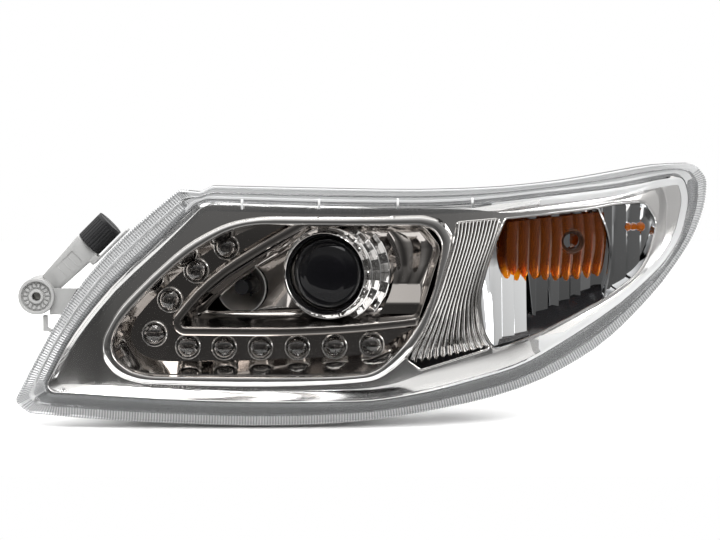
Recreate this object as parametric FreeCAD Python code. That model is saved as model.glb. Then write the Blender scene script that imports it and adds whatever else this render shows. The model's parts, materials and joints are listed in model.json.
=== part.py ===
"""Left-hand truck headlight assembly, every piece a separate solid, in millimetres.

Frame: origin at the mouth of the fixed pivot socket on the back of the housing, where the vehicle's ball stud enters.
+X runs outboard along the lamp, +Y runs back into the vehicle, +Z is up. The clear outer lens faces -Y.

The front of the lamp sweeps back towards its outboard end. That sweep is one function, sweep_y(x). Pieces behind the
lens are cut between copies of it moved back along Y, so a depth d means "d behind the front of the lens".
"""
import FreeCAD
import Part
import os
from math import atan2, cos, degrees, hypot, pi, radians, sin, tan

V = FreeCAD.Vector
Y_AXIS = V(0, 1, 0)
Z_AXIS = V(0, 0, 1)

# ---- sweep of the lens front ------------------------------------------------------------------------------------
FRONT_Y = -200.0          # foremost point of the lens
SWEEP_START_X = -230.0    # the face is nearly flat inboard of this
SWEEP_RUN = 510.0         # length over which it sweeps back
SWEEP_BACK = 165.0        # how far back it goes over that run
SWEEP_POWER = 2.4
INBOARD_RUN = 220.0
INBOARD_BACK = 8.0

# ---- walls, gaps and depths behind the lens front ---------------------------------------------------------------
LENS_WALL = 3.0
FLANGE_FRONT = 22.0       # lens flange
FLANGE_THICK = 4.0
LIP_WIDE = 2.2            # ribbed lip round the flange
LIP_BACK = 40.0
LEG_BACK = 31.0           # lens leg that sinks in the seal
CHANNEL_FLOOR = 36.0      # glue channel of the housing
CHANNEL_THICK = 2.5
FIT_GAP = 0.4             # between parts that drop into each other
SEAT_GAP = 0.1            # between curved faces that rest on each other
HOUSING_WALL = 2.5
SHELF_BACK = 62.5         # back of the shallow step of the housing
BEZEL_FRONT = 16.0
BEZEL_THICK = 2.5
PAN_WIDE = 2.4            # the outboard pan reaches this far round its window
PAN_FLOOR = 47.0
RIM_FRONT = 9.0           # raised rim round the beam window
SKIRT_WIDE = 2.0
LEDGE_WIDE = 4.0

# ---- housing back -----------------------------------------------------------------------------------------------
BOWL_BACK_Y = -35.0       # back of the deep bowl behind the beams
BOWL_DRAFT = 14.0
TRAY_FLOOR_Y = -156.0     # light strip pan
TRAY_FLOOR_THICK = 2.5
BEAM_FRONT_Y = -176.0     # mouth of the beam surround
BEAM_BACK_Y = -144.0     # back face of its floor
BEAM_DRAFT = 3.0
BEAM_WALL = 2.0

# ---- optics -----------------------------------------------------------------------------------------------------
BEAM_YAW = 15.0           # beam axes point straight ahead of the vehicle, the lamp's face is turned outboard
PROJECTOR = V(-136, -170, 24)
PROJECTOR_LENS_R = 33.0
SHROUD_STEPS = [(42.0, 0.0), (47.5, 11.0), (53.5, 22.0), (60.0, 34.0)]   # radius and set-back of each ring
SHROUD_WALL = 1.8
HIGH_BEAM = V(-222, -144, 8)
HIGH_BEAM_R = 26.0
HIGH_BEAM_DEEP = 34.0
BULB_TWIST = 30.0
LED_R = 11.6
LED_BRIM = 1.6
LED_PLACES = [(-236, 51), (-267, 27), (-294, -3), (-310, -38), (-276, -51),
              (-239, -52), (-202, -52), (-164, -52), (-126, -51), (-88, -49)]

# ---- bulb holders and caps --------------------------------------------------------------------------------------
LOW_CAP = (-100.0, 24.0, 39.0)       # x, z and hole radius
HIGH_CAP = (-197.0, 8.0, 31.0)
CAP_DEEP = 27.0
CAP_WALL = 2.6
CAP_TWIST = 30.0
TURN_HOLDER = (123.0, 53.0, 14.0)
TURN_BOSS_BACK_Y = -37.5
MARKER_HOLDER = (193.0, 65.0, 9.0)
MARKER_BOSS_BACK_Y = -8.0
HOLDER_TWIST = 40.0

# ---- aim adjusters ----------------------------------------------------------------------------------------------
CASE_R = 19.0
CASE_WALL = 2.2
LID_RIM = 2.5
ARM_R = 14.5
KNOB_R = 14.5
KNOB_LONG = 31.0
KNOB_FROM = 74.5          # knob's near face from the gear axis
SHAFT_R = 4.0
RUN_GAP = 0.06            # radial running clearance
PINION_TEETH = 10
CROWN_TEETH = 20
GEAR_MODULE = 1.3
GEAR_FACE = 4.0
STUD_R = 4.0
STUD_END_R = 4.5          # plain end that the vehicle's bracket takes
STUD_END = 15.0
STUD_TRAVEL = 5.0
LUG_THICK = 3.5
# name, gear axis x and z, y of the crossing of the two axes, direction of the knob in degrees from +X
ADJUSTERS = [("inboard", -431.0, 0.0, -140.0, 45.0), ("lower", 0.0, -66.0, -62.0, 45.0)]
PIVOT_BOSS_R = 14.0
PIVOT_BORE_R = 6.0
PIVOT_DEEP = 14.0
GROMMET_WALL = 2.5

# ---- outlines seen from the front: x, z and, at a real corner, its radius ----------------------------------------
FLANGE_LINE = [(-454, -107, 8), (-418, -39), (-382, 18), (-335, 68), (-283, 110, 8), (-262, 108, 4), (-249, 114, 6),
               (-160, 112), (-40, 109), (45, 111), (110, 117), (165, 125), (212, 132), (262, 132, 22),
               (278, 115, 18), (276, 86), (262, 51), (226, 3), (160, -57), (92, -91), (37, -107), (-60, -123),
               (-120, -129), (-210, -131), (-345, -126), (-438, -119, 10)]
BEZEL_LINE = [(-422, -95, 8), (-395, -41), (-353, 12), (-307, 54), (-265, 95, 8), (-254, 99, 8), (-217, 98),
              (-120, 95), (-25, 94), (20, 96), (84, 102), (173, 110), (220, 118), (245, 120, 12), (253, 95),
              (244, 55), (223, 26), (175, -13), (112, -49), (66, -73), (-25, -95), (-57, -100), (-88, -104),
              (-213, -104), (-303, -101), (-384, -96)]
RIM_LINE = [(-233, 77), (-200, 83), (-119, 82), (-34, 83), (-16, 78), (-6, 61), (-8, 47), (-22, 0), (-32, -30),
            (-47, -54), (-65, -71), (-84, -83), (-120, -86), (-192, -88), (-260, -87), (-325, -85), (-348, -76),
            (-360, -59), (-360, -41), (-345, -12), (-310, 24), (-272, 57)]
WINDOW_LINE = [(-233, 69), (-208, 75), (-119, 74), (-38, 73), (-24, 68), (-17, 55), (-18, 44), (-25, 7),
               (-36, -19), (-47, -37), (-65, -58), (-86, -75), (-120, -78), (-192, -78), (-312, -77), (-333, -72),
               (-347, -60), (-351, -47), (-346, -29), (-331, -10), (-298, 24), (-265, 51)]
BEAM_LINE = [(-288, -30, 5), (-260, 3), (-234, 25), (-199, 47), (-152, 72, 10), (-36, 72, 14), (-20, 50, 14),
             (-42, -22, 8), (-101, -31), (-170, -33)]
FLUTE_LINE = [(0, 75, 3), (43, 78, 3), (37, 57), (26, 26), (19, -4), (24, -36), (34, -53, 3), (-38, -73, 3),
              (-52, -63, 3), (-36, -36), (-22, -6), (-7, 42), (-2, 62)]
CHAMBER_LINE = [(50, 78, 3), (146, 86), (168, 90), (203, 91, 14), (216, 72, 12), (213, 57), (204, 31), (193, 16),
                (164, -4), (115, -26), (88, -39), (39, -55, 3), (28, -36), (23, -4), (30, 26), (41, 57)]
AMBER_LINE = [(54, 73, 4), (146, 81, 4), (158, 60), (161, 40), (158, 8, 3), (84, 19), (57, 22, 3)]
DIVIDER_LINE = [(152, 88), (163, 60), (167, 40), (165, 21), (159, -4)]
BOWL_LINE = [(-388, -78, 24), (-345, -12), (-298, 36), (-262, 70, 26), (-205, 93, 16), (-62, 93, 24),
             (-30, 70, 20), (-26, 8), (-52, -50, 30), (-84, -82, 24), (-230, -87)]
AUTO_SHARE = 0.45         # share of the shorter neighbour that a smoothing arc may use


# ---- outline tools ----------------------------------------------------------------------------------------------
def sweep_y(x):
    """Where the lens front is at x."""
    out = max(0.0, (x - SWEEP_START_X) / SWEEP_RUN)
    back = max(0.0, (SWEEP_START_X - x) / INBOARD_RUN)
    return FRONT_Y + SWEEP_BACK * out ** SWEEP_POWER + INBOARD_BACK * back ** 2


def outline(points, closed=True):
    """A wire in the XZ plane through a polygon whose corners are rounded, by their own radius or as much as fits."""
    n = len(points)
    spots = [V(p[0], 0, p[1]) for p in points]
    cuts = []
    for i, p in enumerate(spots):
        if not closed and i in (0, n - 1):
            cuts.append((p, p, p))
            continue
        back, ahead = spots[i - 1] - p, spots[(i + 1) % n] - p
        limit = AUTO_SHARE * min(back.Length, ahead.Length)
        turn = pi - back.getAngle(ahead)
        reach = limit if len(points[i]) < 3 else min(limit, points[i][2] * tan(turn / 2))
        start, end = p + V(back).normalize() * reach, p + V(ahead).normalize() * reach
        inward = (V(back).normalize() + V(ahead).normalize()).normalize()
        radius = reach / tan(turn / 2)
        cuts.append((start, p + inward * (radius / cos(turn / 2) - radius), end))
    edges = []
    for i, (start, middle, end) in enumerate(cuts):
        if (start - end).Length > 1e-6:
            edges.append(Part.Arc(start, middle, end).toShape())
        if closed or i < n - 1:
            edges.append(Part.LineSegment(end, cuts[(i + 1) % n][0]).toShape())
    return Part.Wire(edges)


def grow(wire, distance):
    """The outline moved outwards by distance, or inwards if it is negative."""
    if not distance:
        return wire
    moved = wire.makeOffset2D(distance)
    return Part.Wire(moved.Edges) if moved.ShapeType != "Wire" else moved


def prism(wire, y0=FRONT_Y - 40, y1=120.0):
    face = Part.Face(wire)
    face.translate(V(0, y0, 0))
    return face.extrude(V(0, y1 - y0, 0))


KEPT = {}


def depth(d):
    """Everything more than d behind the lens front."""
    if d not in KEPT:
        xs = [-560 + 45 * i for i in range(21)]
        line = Part.BSplineCurve()
        line.interpolate([V(x, sweep_y(x) + d, -300) for x in xs])
        far = 260.0
        corners = [V(xs[-1], sweep_y(xs[-1]) + d, -300), V(xs[-1], far, -300), V(xs[0], far, -300),
                   V(xs[0], sweep_y(xs[0]) + d, -300)]
        sides = [Part.LineSegment(a, b).toShape() for a, b in zip(corners, corners[1:])]
        KEPT[d] = Part.Face(Part.Wire([line.toShape()] + sides)).extrude(V(0, 0, 600))
    return KEPT[d]


def plane(y):
    """Everything behind the plane at y."""
    return Part.makeBox(1200, 500, 800, V(-700, y, -400))


def between(front, back, outer, inner=None):
    """The part of a prism that lies between two surfaces, less an inner prism."""
    body = prism(outer)
    if inner is not None:
        body = body.cut(prism(inner))
    return body.common(front).cut(back)


def rod(x, z, y0, y1, r):
    return Part.makeCylinder(r, y1 - y0, V(x, y0, z), Y_AXIS)


def tube(x, z, y0, y1, outer, inner):
    return rod(x, z, y0, y1, outer).cut(rod(x, z, y0 - 1, y1 + 1, inner))


def lathe(profile, centre=V(0, 0, 0), yaw=0.0):
    """A solid of revolution from (y, radius) points, its axis turned by yaw from +Y towards +X."""
    corners = [V(r, y, 0) for y, r in profile]
    wire = Part.makePolygon(corners + corners[:1])
    solid = Part.Face(wire).revolve(V(0, 0, 0), Y_AXIS, 360)
    solid = Part.Solid(solid.Shells[0]) if solid.ShapeType != "Solid" else solid
    solid.rotate(V(0, 0, 0), Z_AXIS, -yaw)
    solid.translate(centre)
    return solid


def wedge(x, z, y0, y1, inner, outer, at, half):
    """A piece of a ring about the Y axis, from angle at - half to at + half."""
    piece = Part.makeCylinder(outer, y1 - y0, V(0, 0, 0), Z_AXIS, 2 * half)
    piece = piece.cut(Part.makeCylinder(inner, y1 - y0 + 2, V(0, 0, -1)))
    piece.rotate(V(0, 0, 0), Z_AXIS, at - half)
    piece.rotate(V(0, 0, 0), V(1, 0, 0), 90)
    piece.translate(V(x, y1, z))
    return piece


def joined(shapes):
    first, *rest = shapes
    return first.multiFuse(rest).removeSplitter() if rest else first


def tapered(wire_points, y0, y1, inset, shrink=0.0):
    """A drafted block between an outline at y0 and the same outline, inset, at y1."""
    wide = grow(outline(wire_points), -shrink)
    slim = grow(outline(wire_points), -shrink - inset)
    wide.translate(V(0, y0, 0))
    slim.translate(V(0, y1, 0))
    return Part.makeLoft([wide, slim], True, True)


FLANGE = outline(FLANGE_LINE)
BEZEL = outline(BEZEL_LINE)
FACE = grow(BEZEL, 5.0)
RIM = outline(RIM_LINE)
WINDOW = outline(WINDOW_LINE)
BEAM = outline(BEAM_LINE)
CHAMBER = outline(CHAMBER_LINE)
BACK_WAY = V(sin(radians(BEAM_YAW)), cos(radians(BEAM_YAW)), 0)
CHANNEL_OUT = LIP_WIDE + FIT_GAP
GROOVE_OUT = CHANNEL_OUT + 2.2
GROOVE_IN = GROOVE_OUT + 3.8
CHANNEL_IN = GROOVE_IN + 2.0
HIGH_BACK_Y = HIGH_BEAM.y + HIGH_BEAM_DEEP


# ---- shells -----------------------------------------------------------------------------------------------------
def outer_lens():
    cap = between(depth(0), depth(LENS_WALL), FACE)
    wall = between(depth(0), depth(FLANGE_FRONT + FLANGE_THICK), FACE, grow(FACE, -LENS_WALL))
    flange = between(depth(FLANGE_FRONT), depth(FLANGE_FRONT + FLANGE_THICK), FLANGE, grow(FACE, -1.0))
    lip = between(depth(FLANGE_FRONT), depth(LIP_BACK), FLANGE, grow(FLANGE, -LIP_WIDE))
    leg = between(depth(FLANGE_FRONT + 1), depth(LEG_BACK), grow(FLANGE, -GROOVE_OUT - 0.8),
                  grow(FLANGE, -GROOVE_IN + 0.8))
    return joined([cap, wall, flange, lip, leg])


def lens_seal():
    return between(depth(LEG_BACK + SEAT_GAP), depth(CHANNEL_FLOOR - SEAT_GAP), grow(FLANGE, -GROOVE_OUT - 0.2),
                   grow(FLANGE, -GROOVE_IN + 0.2))


def cap_collar(x, z, r):
    """The collar that a twist cap grips, with its three lugs."""
    y = BOWL_BACK_Y
    ring = tube(x, z, y - HOUSING_WALL, y + 8.5, r + 2.6, r)
    lugs = [wedge(x, z, y + 5.2, y + 7.5, r + 2, r + 4.9, 90 + 120 * i, 8) for i in range(3)]
    return [ring] + lugs


def holder_hole(x, z, r, y_back):
    """A round hole with three notches for a twist-lock bulb holder."""
    hole = [rod(x, z, y_back - 6, y_back + 2, r)]
    notches = [wedge(x, z, y_back - 6, y_back + 2, r - 1, r + 3.0, 90 + HOLDER_TWIST + 120 * i, 13)
               for i in range(3)]
    return hole + notches


def holder_boss(x, z, r, y_back):
    outer = rod(x, z, -160, y_back, r + 9).common(depth(SHELF_BACK - HOUSING_WALL))
    inner = rod(x, z, -170, y_back - HOUSING_WALL, r + 6.5)
    return outer, inner


def stand(x, z, y_back, r, draft=1.0):
    """A solid post from the housing's shelf back to y_back."""
    return Part.makeCone(r + draft, r, y_back + 170, V(x, -170, z), Y_AXIS).common(depth(SHELF_BACK - 1.5))


def pivot_web(angle):
    """A tapered gusset that ties the pivot boss to the shelf."""
    reach, thick = 15.0, 3.0
    corners = [V(0, -170, 0), V(PIVOT_BOSS_R + reach, -170, 0), V(PIVOT_BOSS_R + reach, -104, 0),
               V(PIVOT_BOSS_R - 1, -22, 0), V(0, -22, 0)]
    web = Part.Face(Part.makePolygon(corners + corners[:1])).extrude(V(0, 0, thick))
    web.translate(V(0, 0, -thick / 2))
    web.rotate(V(0, 0, 0), Y_AXIS, angle)
    return web.common(depth(SHELF_BACK - 1.5))


def rear_housing():
    floor, deep = depth(CHANNEL_FLOOR), depth(CHANNEL_FLOOR + CHANNEL_THICK)
    top = depth(FLANGE_FRONT + FLANGE_THICK + 1)
    shelf_front, shelf_back = depth(SHELF_BACK - HOUSING_WALL), depth(SHELF_BACK)
    wall_out, wall_in = grow(BEZEL, 3.0), grow(BEZEL, 3.0 - HOUSING_WALL)
    pieces = [
        between(top, deep, grow(FLANGE, -CHANNEL_OUT), grow(FLANGE, -GROOVE_OUT)),
        between(floor, deep, grow(FLANGE, -CHANNEL_OUT), grow(BEZEL, -LEDGE_WIDE)),
        between(top, deep, grow(FLANGE, -GROOVE_IN), grow(FLANGE, -CHANNEL_IN)),
        between(floor, shelf_back, wall_out, wall_in),
        between(shelf_front, shelf_back, wall_out),
    ]
    bowl = tapered(BOWL_LINE, -160, BOWL_BACK_Y, BOWL_DRAFT).common(depth(SHELF_BACK - HOUSING_WALL))
    pieces.append(bowl)
    pillars, bores = [], []
    hollows = [tapered(BOWL_LINE, -160, BOWL_BACK_Y - HOUSING_WALL, BOWL_DRAFT, HOUSING_WALL)]
    for holder, y_back in ((TURN_HOLDER, TURN_BOSS_BACK_Y), (MARKER_HOLDER, MARKER_BOSS_BACK_Y)):
        boss, inside = holder_boss(*holder, y_back)
        pieces.append(boss)
        hollows += [inside] + holder_hole(*holder, y_back)
    for cap in (LOW_CAP, HIGH_CAP):
        pieces += cap_collar(*cap)
        hollows.append(rod(cap[0], cap[1], BOWL_BACK_Y - 8, BOWL_BACK_Y + 10, cap[2]))
    pieces.append(stand(0, 0, 0, PIVOT_BOSS_R, 3.0))
    pieces += [pivot_web(angle) for angle in (20, 110, 200, 290)]
    hollows.append(rod(0, 0, -PIVOT_DEEP, 1, PIVOT_BORE_R + GROMMET_WALL))
    for name, x, z, y, way in ADJUSTERS:
        pieces += adjuster_mount(name, x, z, y, way)
    for x, z in SHELF_SCREWS:
        hollows.append(rod(x, z, -170, 120, SCREW_R + 0.3))
    hollows.append(rod(VENTS[0][0], VENTS[0][1], BOWL_BACK_Y - 6, BOWL_BACK_Y + 20, 2.5))
    hollows.append(rod(VENTS[1][0], VENTS[1][1], BOWL_BACK_Y - 6, BOWL_BACK_Y + 20, 2.5))
    for x, z in VENTS:
        pieces.append(rod(x, z, BOWL_BACK_Y - 1, BOWL_BACK_Y + 5.5, 3.9))
    for x, z in PILLARS:
        post = rod(x, z, bracket_y(x) - 5, BOWL_BACK_Y - 1, PILLAR_R)
        pillars.append(post.cut(ahead_of(BRACKET_SETBACK + BRACKET_THICK)))
        bores.append(rod(x, z, bracket_y(x) - 5, bracket_y(x) + 18, SCREW_R))
    pieces += bowl_ribs()
    body = joined(pieces).cut(joined(hollows))
    return joined([body] + pillars).cut(joined(bores))


SCREW_R = 2.1
SCREW_HEAD_R = 4.6
SCREW_HEAD = 3.0
SHELF_SCREWS = [(-405, -86), (-250, 86), (-25, 85), (-200, -95), (42, -70), (100, 94)]
VENTS = [(-300, -52), (-235, 50)]
PILLAR_R = 5.5
BRACKET_THICK = 3.0
BRACKET_SETBACK = 47.0
PILLARS = [(-176, 72), (-77, 71), (-176, -22), (-74, -24)]


def ahead_of(s):
    """Everything ahead of the plane that stands square to the beam axis at s behind the projector's front."""
    return lathe([(-200, 0), (-200, 300), (s, 300), (s, 0)], PROJECTOR, BEAM_YAW)


def bracket_y(x):
    """The bracket plate's front plane at x: it stands square to the beam axis."""
    start = PROJECTOR + BACK_WAY * BRACKET_SETBACK
    return start.y - (x - start.x) * tan(radians(BEAM_YAW))


def bowl_ribs():
    """Stiffening ribs across the back of the deep bowl."""
    ribs = []
    for x in (-352, -338, -262, -250):
        rib = Part.makeBox(2.2, 8, 200, V(x, BOWL_BACK_Y - 6, -100))
        ribs.append(rib)
    ribs.append(Part.makeBox(110, 8, 2.2, V(-380, BOWL_BACK_Y - 6, -26)))
    back = tapered(BOWL_LINE, -160, BOWL_BACK_Y + 4, BOWL_DRAFT)
    return [rib.common(back) for rib in ribs]


def main_bezel():
    plate_front, plate_back = depth(BEZEL_FRONT), depth(BEZEL_FRONT + BEZEL_THICK)
    plate = between(plate_front, plate_back, BEZEL, WINDOW)
    plate = plate.cut(prism(outline(FLUTE_LINE))).cut(prism(CHAMBER))
    skirt = between(plate_front, depth(CHANNEL_FLOOR - SEAT_GAP), BEZEL, grow(BEZEL, -SKIRT_WIDE))
    rim = between(depth(RIM_FRONT), plate_back, RIM, WINDOW)
    front_edges = [e for e in rim.Edges if e.Length > 8 and on_front(e)]
    try:
        rim = rim.makeFillet(2.6, front_edges)
    except Part.OCCError:
        pass
    lip = between(depth(BEZEL_FRONT - 3), plate_back, grow(CHAMBER, 2.0), CHAMBER)
    posts = []
    for x, z in SHELF_SCREWS:
        shelf_y = sweep_y(x) + SHELF_BACK
        post = rod(x, z, -200, 60, SCREW_R + 2.2).cut(rod(x, z, shelf_y - 30, 80, SCREW_R))
        posts.append(post.common(plate_front).cut(depth(SHELF_BACK - HOUSING_WALL)))
    return joined([plate, skirt, rim, lip] + posts)


def on_front(edge):
    """Whether an edge of the rim lies on its front surface."""
    middle = edge.valueAt((edge.FirstParameter + edge.LastParameter) / 2)
    return abs(middle.y - sweep_y(middle.x) - RIM_FRONT) < 0.3


# ---- light strip ------------------------------------------------------------------------------------------------
def led_tray():
    floor_front, floor_back = plane(TRAY_FLOOR_Y), plane(TRAY_FLOOR_Y + TRAY_FLOOR_THICK)
    start = depth(BEZEL_FRONT + BEZEL_THICK + FIT_GAP)
    band_front, band_back = depth(BEZEL_FRONT + 4), depth(BEZEL_FRONT + 6)
    outer_line, band_line = grow(WINDOW, 3.0), grow(BEAM, 8.0)
    pan = between(floor_front, floor_back, outer_line, BEAM)
    wall = between(start, floor_back, outer_line, grow(WINDOW, 0.8))
    band = between(band_front, band_back, band_line, BEAM).common(prism(outer_line))
    inner = between(band_front, floor_back, grow(BEAM, 2.0), BEAM).common(prism(outer_line))
    side = between(band_front, floor_back, band_line, grow(BEAM, 6.0)).common(prism(grow(WINDOW, 1.0)))
    body = joined([pan, wall, band, inner, side]).common(start).cut(shroud_room())
    for x, z in LED_PLACES:
        body = body.cut(rod(x, z, TRAY_FLOOR_Y - 1, TRAY_FLOOR_Y + 6, LED_R + FIT_GAP / 2))
        body = body.cut(rod(x, z, FRONT_Y, TRAY_FLOOR_Y, LED_R + LED_BRIM / 2))
    return body


def led_lens(x, z):
    """A collimator: domed barrel in front of the pan, brim behind it, and a pocket over the emitter."""
    y = TRAY_FLOOR_Y
    back = y + TRAY_FLOOR_THICK + LED_BRIM
    r = LED_R
    profile = [(y - 13, 0), (y - 12.2, r * 0.45), (y - 10.4, r * 0.8), (y - 8, r), (y + TRAY_FLOOR_THICK, r),
               (y + TRAY_FLOOR_THICK, r + LED_BRIM), (back, r + LED_BRIM), (back, 4.0), (back - 3.5, 3.2),
               (back - 3.5, 0)]
    return lathe(profile, V(x, 0, z))


def led_board():
    """Flexible strip that carries the emitters, following the row of lenses."""
    front = TRAY_FLOOR_Y + TRAY_FLOOR_THICK + LED_BRIM
    wide = 9.0
    pieces = []
    for (x0, z0), (x1, z1) in zip(LED_PLACES, LED_PLACES[1:]):
        length = hypot(x1 - x0, z1 - z0)
        strip = Part.makeBox(length, 1.6, 2 * wide, V(0, front, -wide))
        strip.rotate(V(0, 0, 0), Y_AXIS, -degrees(atan2(z1 - z0, x1 - x0)))
        strip.translate(V(x0, 0, z0))
        pieces.append(strip)
    pieces += [rod(x, z, front, front + 1.6, wide) for x, z in LED_PLACES]
    return joined(pieces)


def led_emitters():
    front = TRAY_FLOOR_Y + TRAY_FLOOR_THICK + LED_BRIM
    return Part.makeCompound([rod(x, z, front - 1.4, front, 2.4) for x, z in LED_PLACES])


# ---- beam chamber -----------------------------------------------------------------------------------------------
def beam_surround():
    """Chrome surround behind the beam window: wall, floor and the collar that drops back to the projector's ring."""
    floor_y = BEAM_BACK_Y - BEAM_WALL
    ring = SHROUD_STEPS[-1][0] + FIT_GAP
    seat = BRACKET_SETBACK - 2 - 0.3
    outer = tapered(BEAM_LINE, BEAM_FRONT_Y, BEAM_BACK_Y, BEAM_DRAFT, FIT_GAP)
    inner = tapered(BEAM_LINE, BEAM_FRONT_Y - 1, BEAM_BACK_Y + 1, BEAM_DRAFT, FIT_GAP + BEAM_WALL)
    wall = outer.cut(inner).common(depth(BEZEL_FRONT + 8)).cut(shroud_room())
    floor = outer.common(plane(floor_y))
    tunnel = lathe([(-60, 0), (-60, ring), (90, ring), (90, 0)], PROJECTOR, BEAM_YAW)
    dish = lathe([(-1, 0), (-1, HIGH_BEAM_R + 1.1), (60, HIGH_BEAM_R + 1.1), (60, 0)], HIGH_BEAM, BEAM_YAW)
    collar = lathe([(-60, ring), (-60, ring + 1.8), (seat, ring + 1.8), (seat, ring)], PROJECTOR, BEAM_YAW)
    collar = collar.common(plane(floor_y))
    return joined([wall, floor.cut(tunnel), collar]).cut(dish)


def shroud_room():
    """The space the shroud's rings need, from the second ring back."""
    profile = []
    for (r, back), (after, _) in zip(SHROUD_STEPS[1:], [(b, 0) for _, b in SHROUD_STEPS[2:]] + [(90, 0)]):
        profile += [(back - 0.6, r + FIT_GAP), (after - 0.6, r + FIT_GAP)]
    return lathe([(profile[0][0], 0)] + profile + [(profile[-1][0], 0)], PROJECTOR, BEAM_YAW)


def projector_lens():
    r = PROJECTOR_LENS_R
    dome = [(1.0 + 15.0 * (i / 8) ** 2.2, r * i / 8 * 0.97) for i in range(9)]
    profile = dome + [(16.5, r), (19.5, r), (19.5, 0)]
    return lathe(profile, PROJECTOR, BEAM_YAW)


def lens_holder():
    r = PROJECTOR_LENS_R
    back = BRACKET_SETBACK - 5
    profile = [(14.0, r + 0.1), (14.0, r + 3.4), (back, r + 3.4), (back, r - 2), (19.5, r - 2), (19.5, r + 0.1)]
    return lathe(profile, PROJECTOR, BEAM_YAW)


def shroud():
    """Stepped ring surround that moves out from the lens in four rings."""
    wall = SHROUD_WALL
    outer, inner = [], []
    for i, (r, back) in enumerate(SHROUD_STEPS):
        after = SHROUD_STEPS[i + 1][1] if i + 1 < len(SHROUD_STEPS) else BRACKET_SETBACK - 2
        outer += [(back, r), (after, r)]
        inner += [(back + (wall if i else 3.0), r - wall), (after + wall, r - wall)]
    throat = [(0.0, 39.5), (13.0, 37.0), (15.0, 37.0), (3.0, 40.2)]
    inner[-1] = (outer[-1][0], inner[-1][1])
    profile = [throat[0]] + outer + inner[::-1] + [throat[2], throat[1]]
    return lathe(profile, PROJECTOR, BEAM_YAW)


def projector_bracket():
    """Cast plate that holds the projector, with an ear on each housing pillar and the seat of the shroud."""
    back = BRACKET_SETBACK
    ring = lathe([(back - 2, 36.5), (back - 2, 60.5), (back + BRACKET_THICK, 60.5), (back + BRACKET_THICK, 36.5)],
                 PROJECTOR, BEAM_YAW)
    neck = lathe([(back - 5, 33.5), (back - 5, 38.5), (back, 38.5), (back, 33.5)], PROJECTOR, BEAM_YAW)
    plate = Part.makeBox(140, BRACKET_THICK, 108, V(-70, 0, -54))
    plate.rotate(V(0, 0, 0), Z_AXIS, -BEAM_YAW)
    plate.translate(PROJECTOR + BACK_WAY * back)
    ears = [plate.common(rod(x, z, -180, -20, 9).fuse(bar(x, z))) for x, z in PILLARS]
    body = joined([ring, neck] + ears)
    bore = lathe([(back - 6, 0), (back - 6, 34.5), (back + 9, 34.5), (back + 9, 0)], PROJECTOR, BEAM_YAW)
    body = body.cut(bore)
    for x, z in PILLARS:
        body = body.cut(rod(x, z, -180, -20, SCREW_R + 0.3))
    return body


def bar(x, z):
    """A web that ties an ear to the bracket's ring."""
    centre = PROJECTOR + BACK_WAY * BRACKET_SETBACK
    length = hypot(x - centre.x, z - centre.z)
    web = Part.makeBox(length, 200, 14, V(0, -190, -7))
    web.rotate(V(0, 0, 0), Y_AXIS, -degrees(atan2(z - centre.z, x - centre.x)))
    web.translate(V(centre.x, 0, centre.z))
    return web


def bracket_screws():
    heads = []
    for x, z in PILLARS:
        y = bracket_y(x)
        screw = rod(x, z, y - SCREW_HEAD - 1.4, y - 1.4, SCREW_HEAD_R).fuse(rod(x, z, y - 1.5, y + 16, SCREW_R - 0.05))
        heads.append(screw)
    return Part.makeCompound(heads)


def projector_bowl():
    """Ellipsoidal reflector bolted behind the bracket, with the bulb neck at its back."""
    back = BRACKET_SETBACK + BRACKET_THICK
    outer = [(back, 34.3), (back, 40.0), (back + 4, 40.0), (back + 4, 35.5), (back + 22, 34.0), (back + 38, 29.0),
             (back + 48, 21.0), (back + 54, 15.0), (back + 62, 15.0)]
    inner = [(back + 62, 11.5), (back + 52, 11.5), (back + 46, 18.5), (back + 36, 26.5), (back + 20, 31.5)]
    return lathe(outer + inner, PROJECTOR, BEAM_YAW)


def cutoff_shield():
    """Upright plate whose stepped top edge cuts the low beam off."""
    back = BRACKET_SETBACK - 1.0
    disc = lathe([(back, 0), (back, 34.2), (back + 1.2, 34.2), (back + 1.2, 0)], PROJECTOR, BEAM_YAW)
    low = Part.makeBox(80, 200, 80, V(PROJECTOR.x - 60, -200, PROJECTOR.z - 82))
    step = Part.makeBox(80, 200, 80, V(PROJECTOR.x + 12, -200, PROJECTOR.z - 80))
    ring = lathe([(back, 30.0), (back, 34.2), (back + 1.2, 34.2), (back + 1.2, 30.0)], PROJECTOR, BEAM_YAW)
    return joined([disc.common(low.fuse(step)), ring])


def bulb(centre, neck_back, neck_r, glass_r, glass_long, yaw):
    """A twist-lock bulb: glass and stem in front of its flange, plug behind, in the neck of a reflector."""
    flange = neck_back + FIT_GAP
    profile = [(neck_back - glass_long, 0), (neck_back - glass_long + 1.5, glass_r * 0.75),
               (neck_back - glass_long + 4, glass_r), (neck_back - 12, glass_r), (neck_back - 11, neck_r - 3),
               (neck_back - 8, neck_r - FIT_GAP), (flange, neck_r - FIT_GAP), (flange, neck_r + 3.5),
               (flange + 3, neck_r + 3.5), (flange + 3, neck_r - 3), (flange + 9, neck_r - 3), (flange + 9, 0)]
    return lathe(profile, centre, yaw)


def bulb_plug(centre, from_back, yaw):
    plug = Part.makeBox(13, 9, 16, V(-6.5, from_back, -8))
    plug.rotate(V(0, 0, 0), Z_AXIS, -yaw)
    plug.translate(centre)
    return plug


def low_beam_bulb():
    neck = BRACKET_SETBACK + BRACKET_THICK + 62
    return joined([bulb(PROJECTOR, neck, 11.5, 6.0, 46, BEAM_YAW), bulb_plug(PROJECTOR, neck + 9, BEAM_YAW)])


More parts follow.
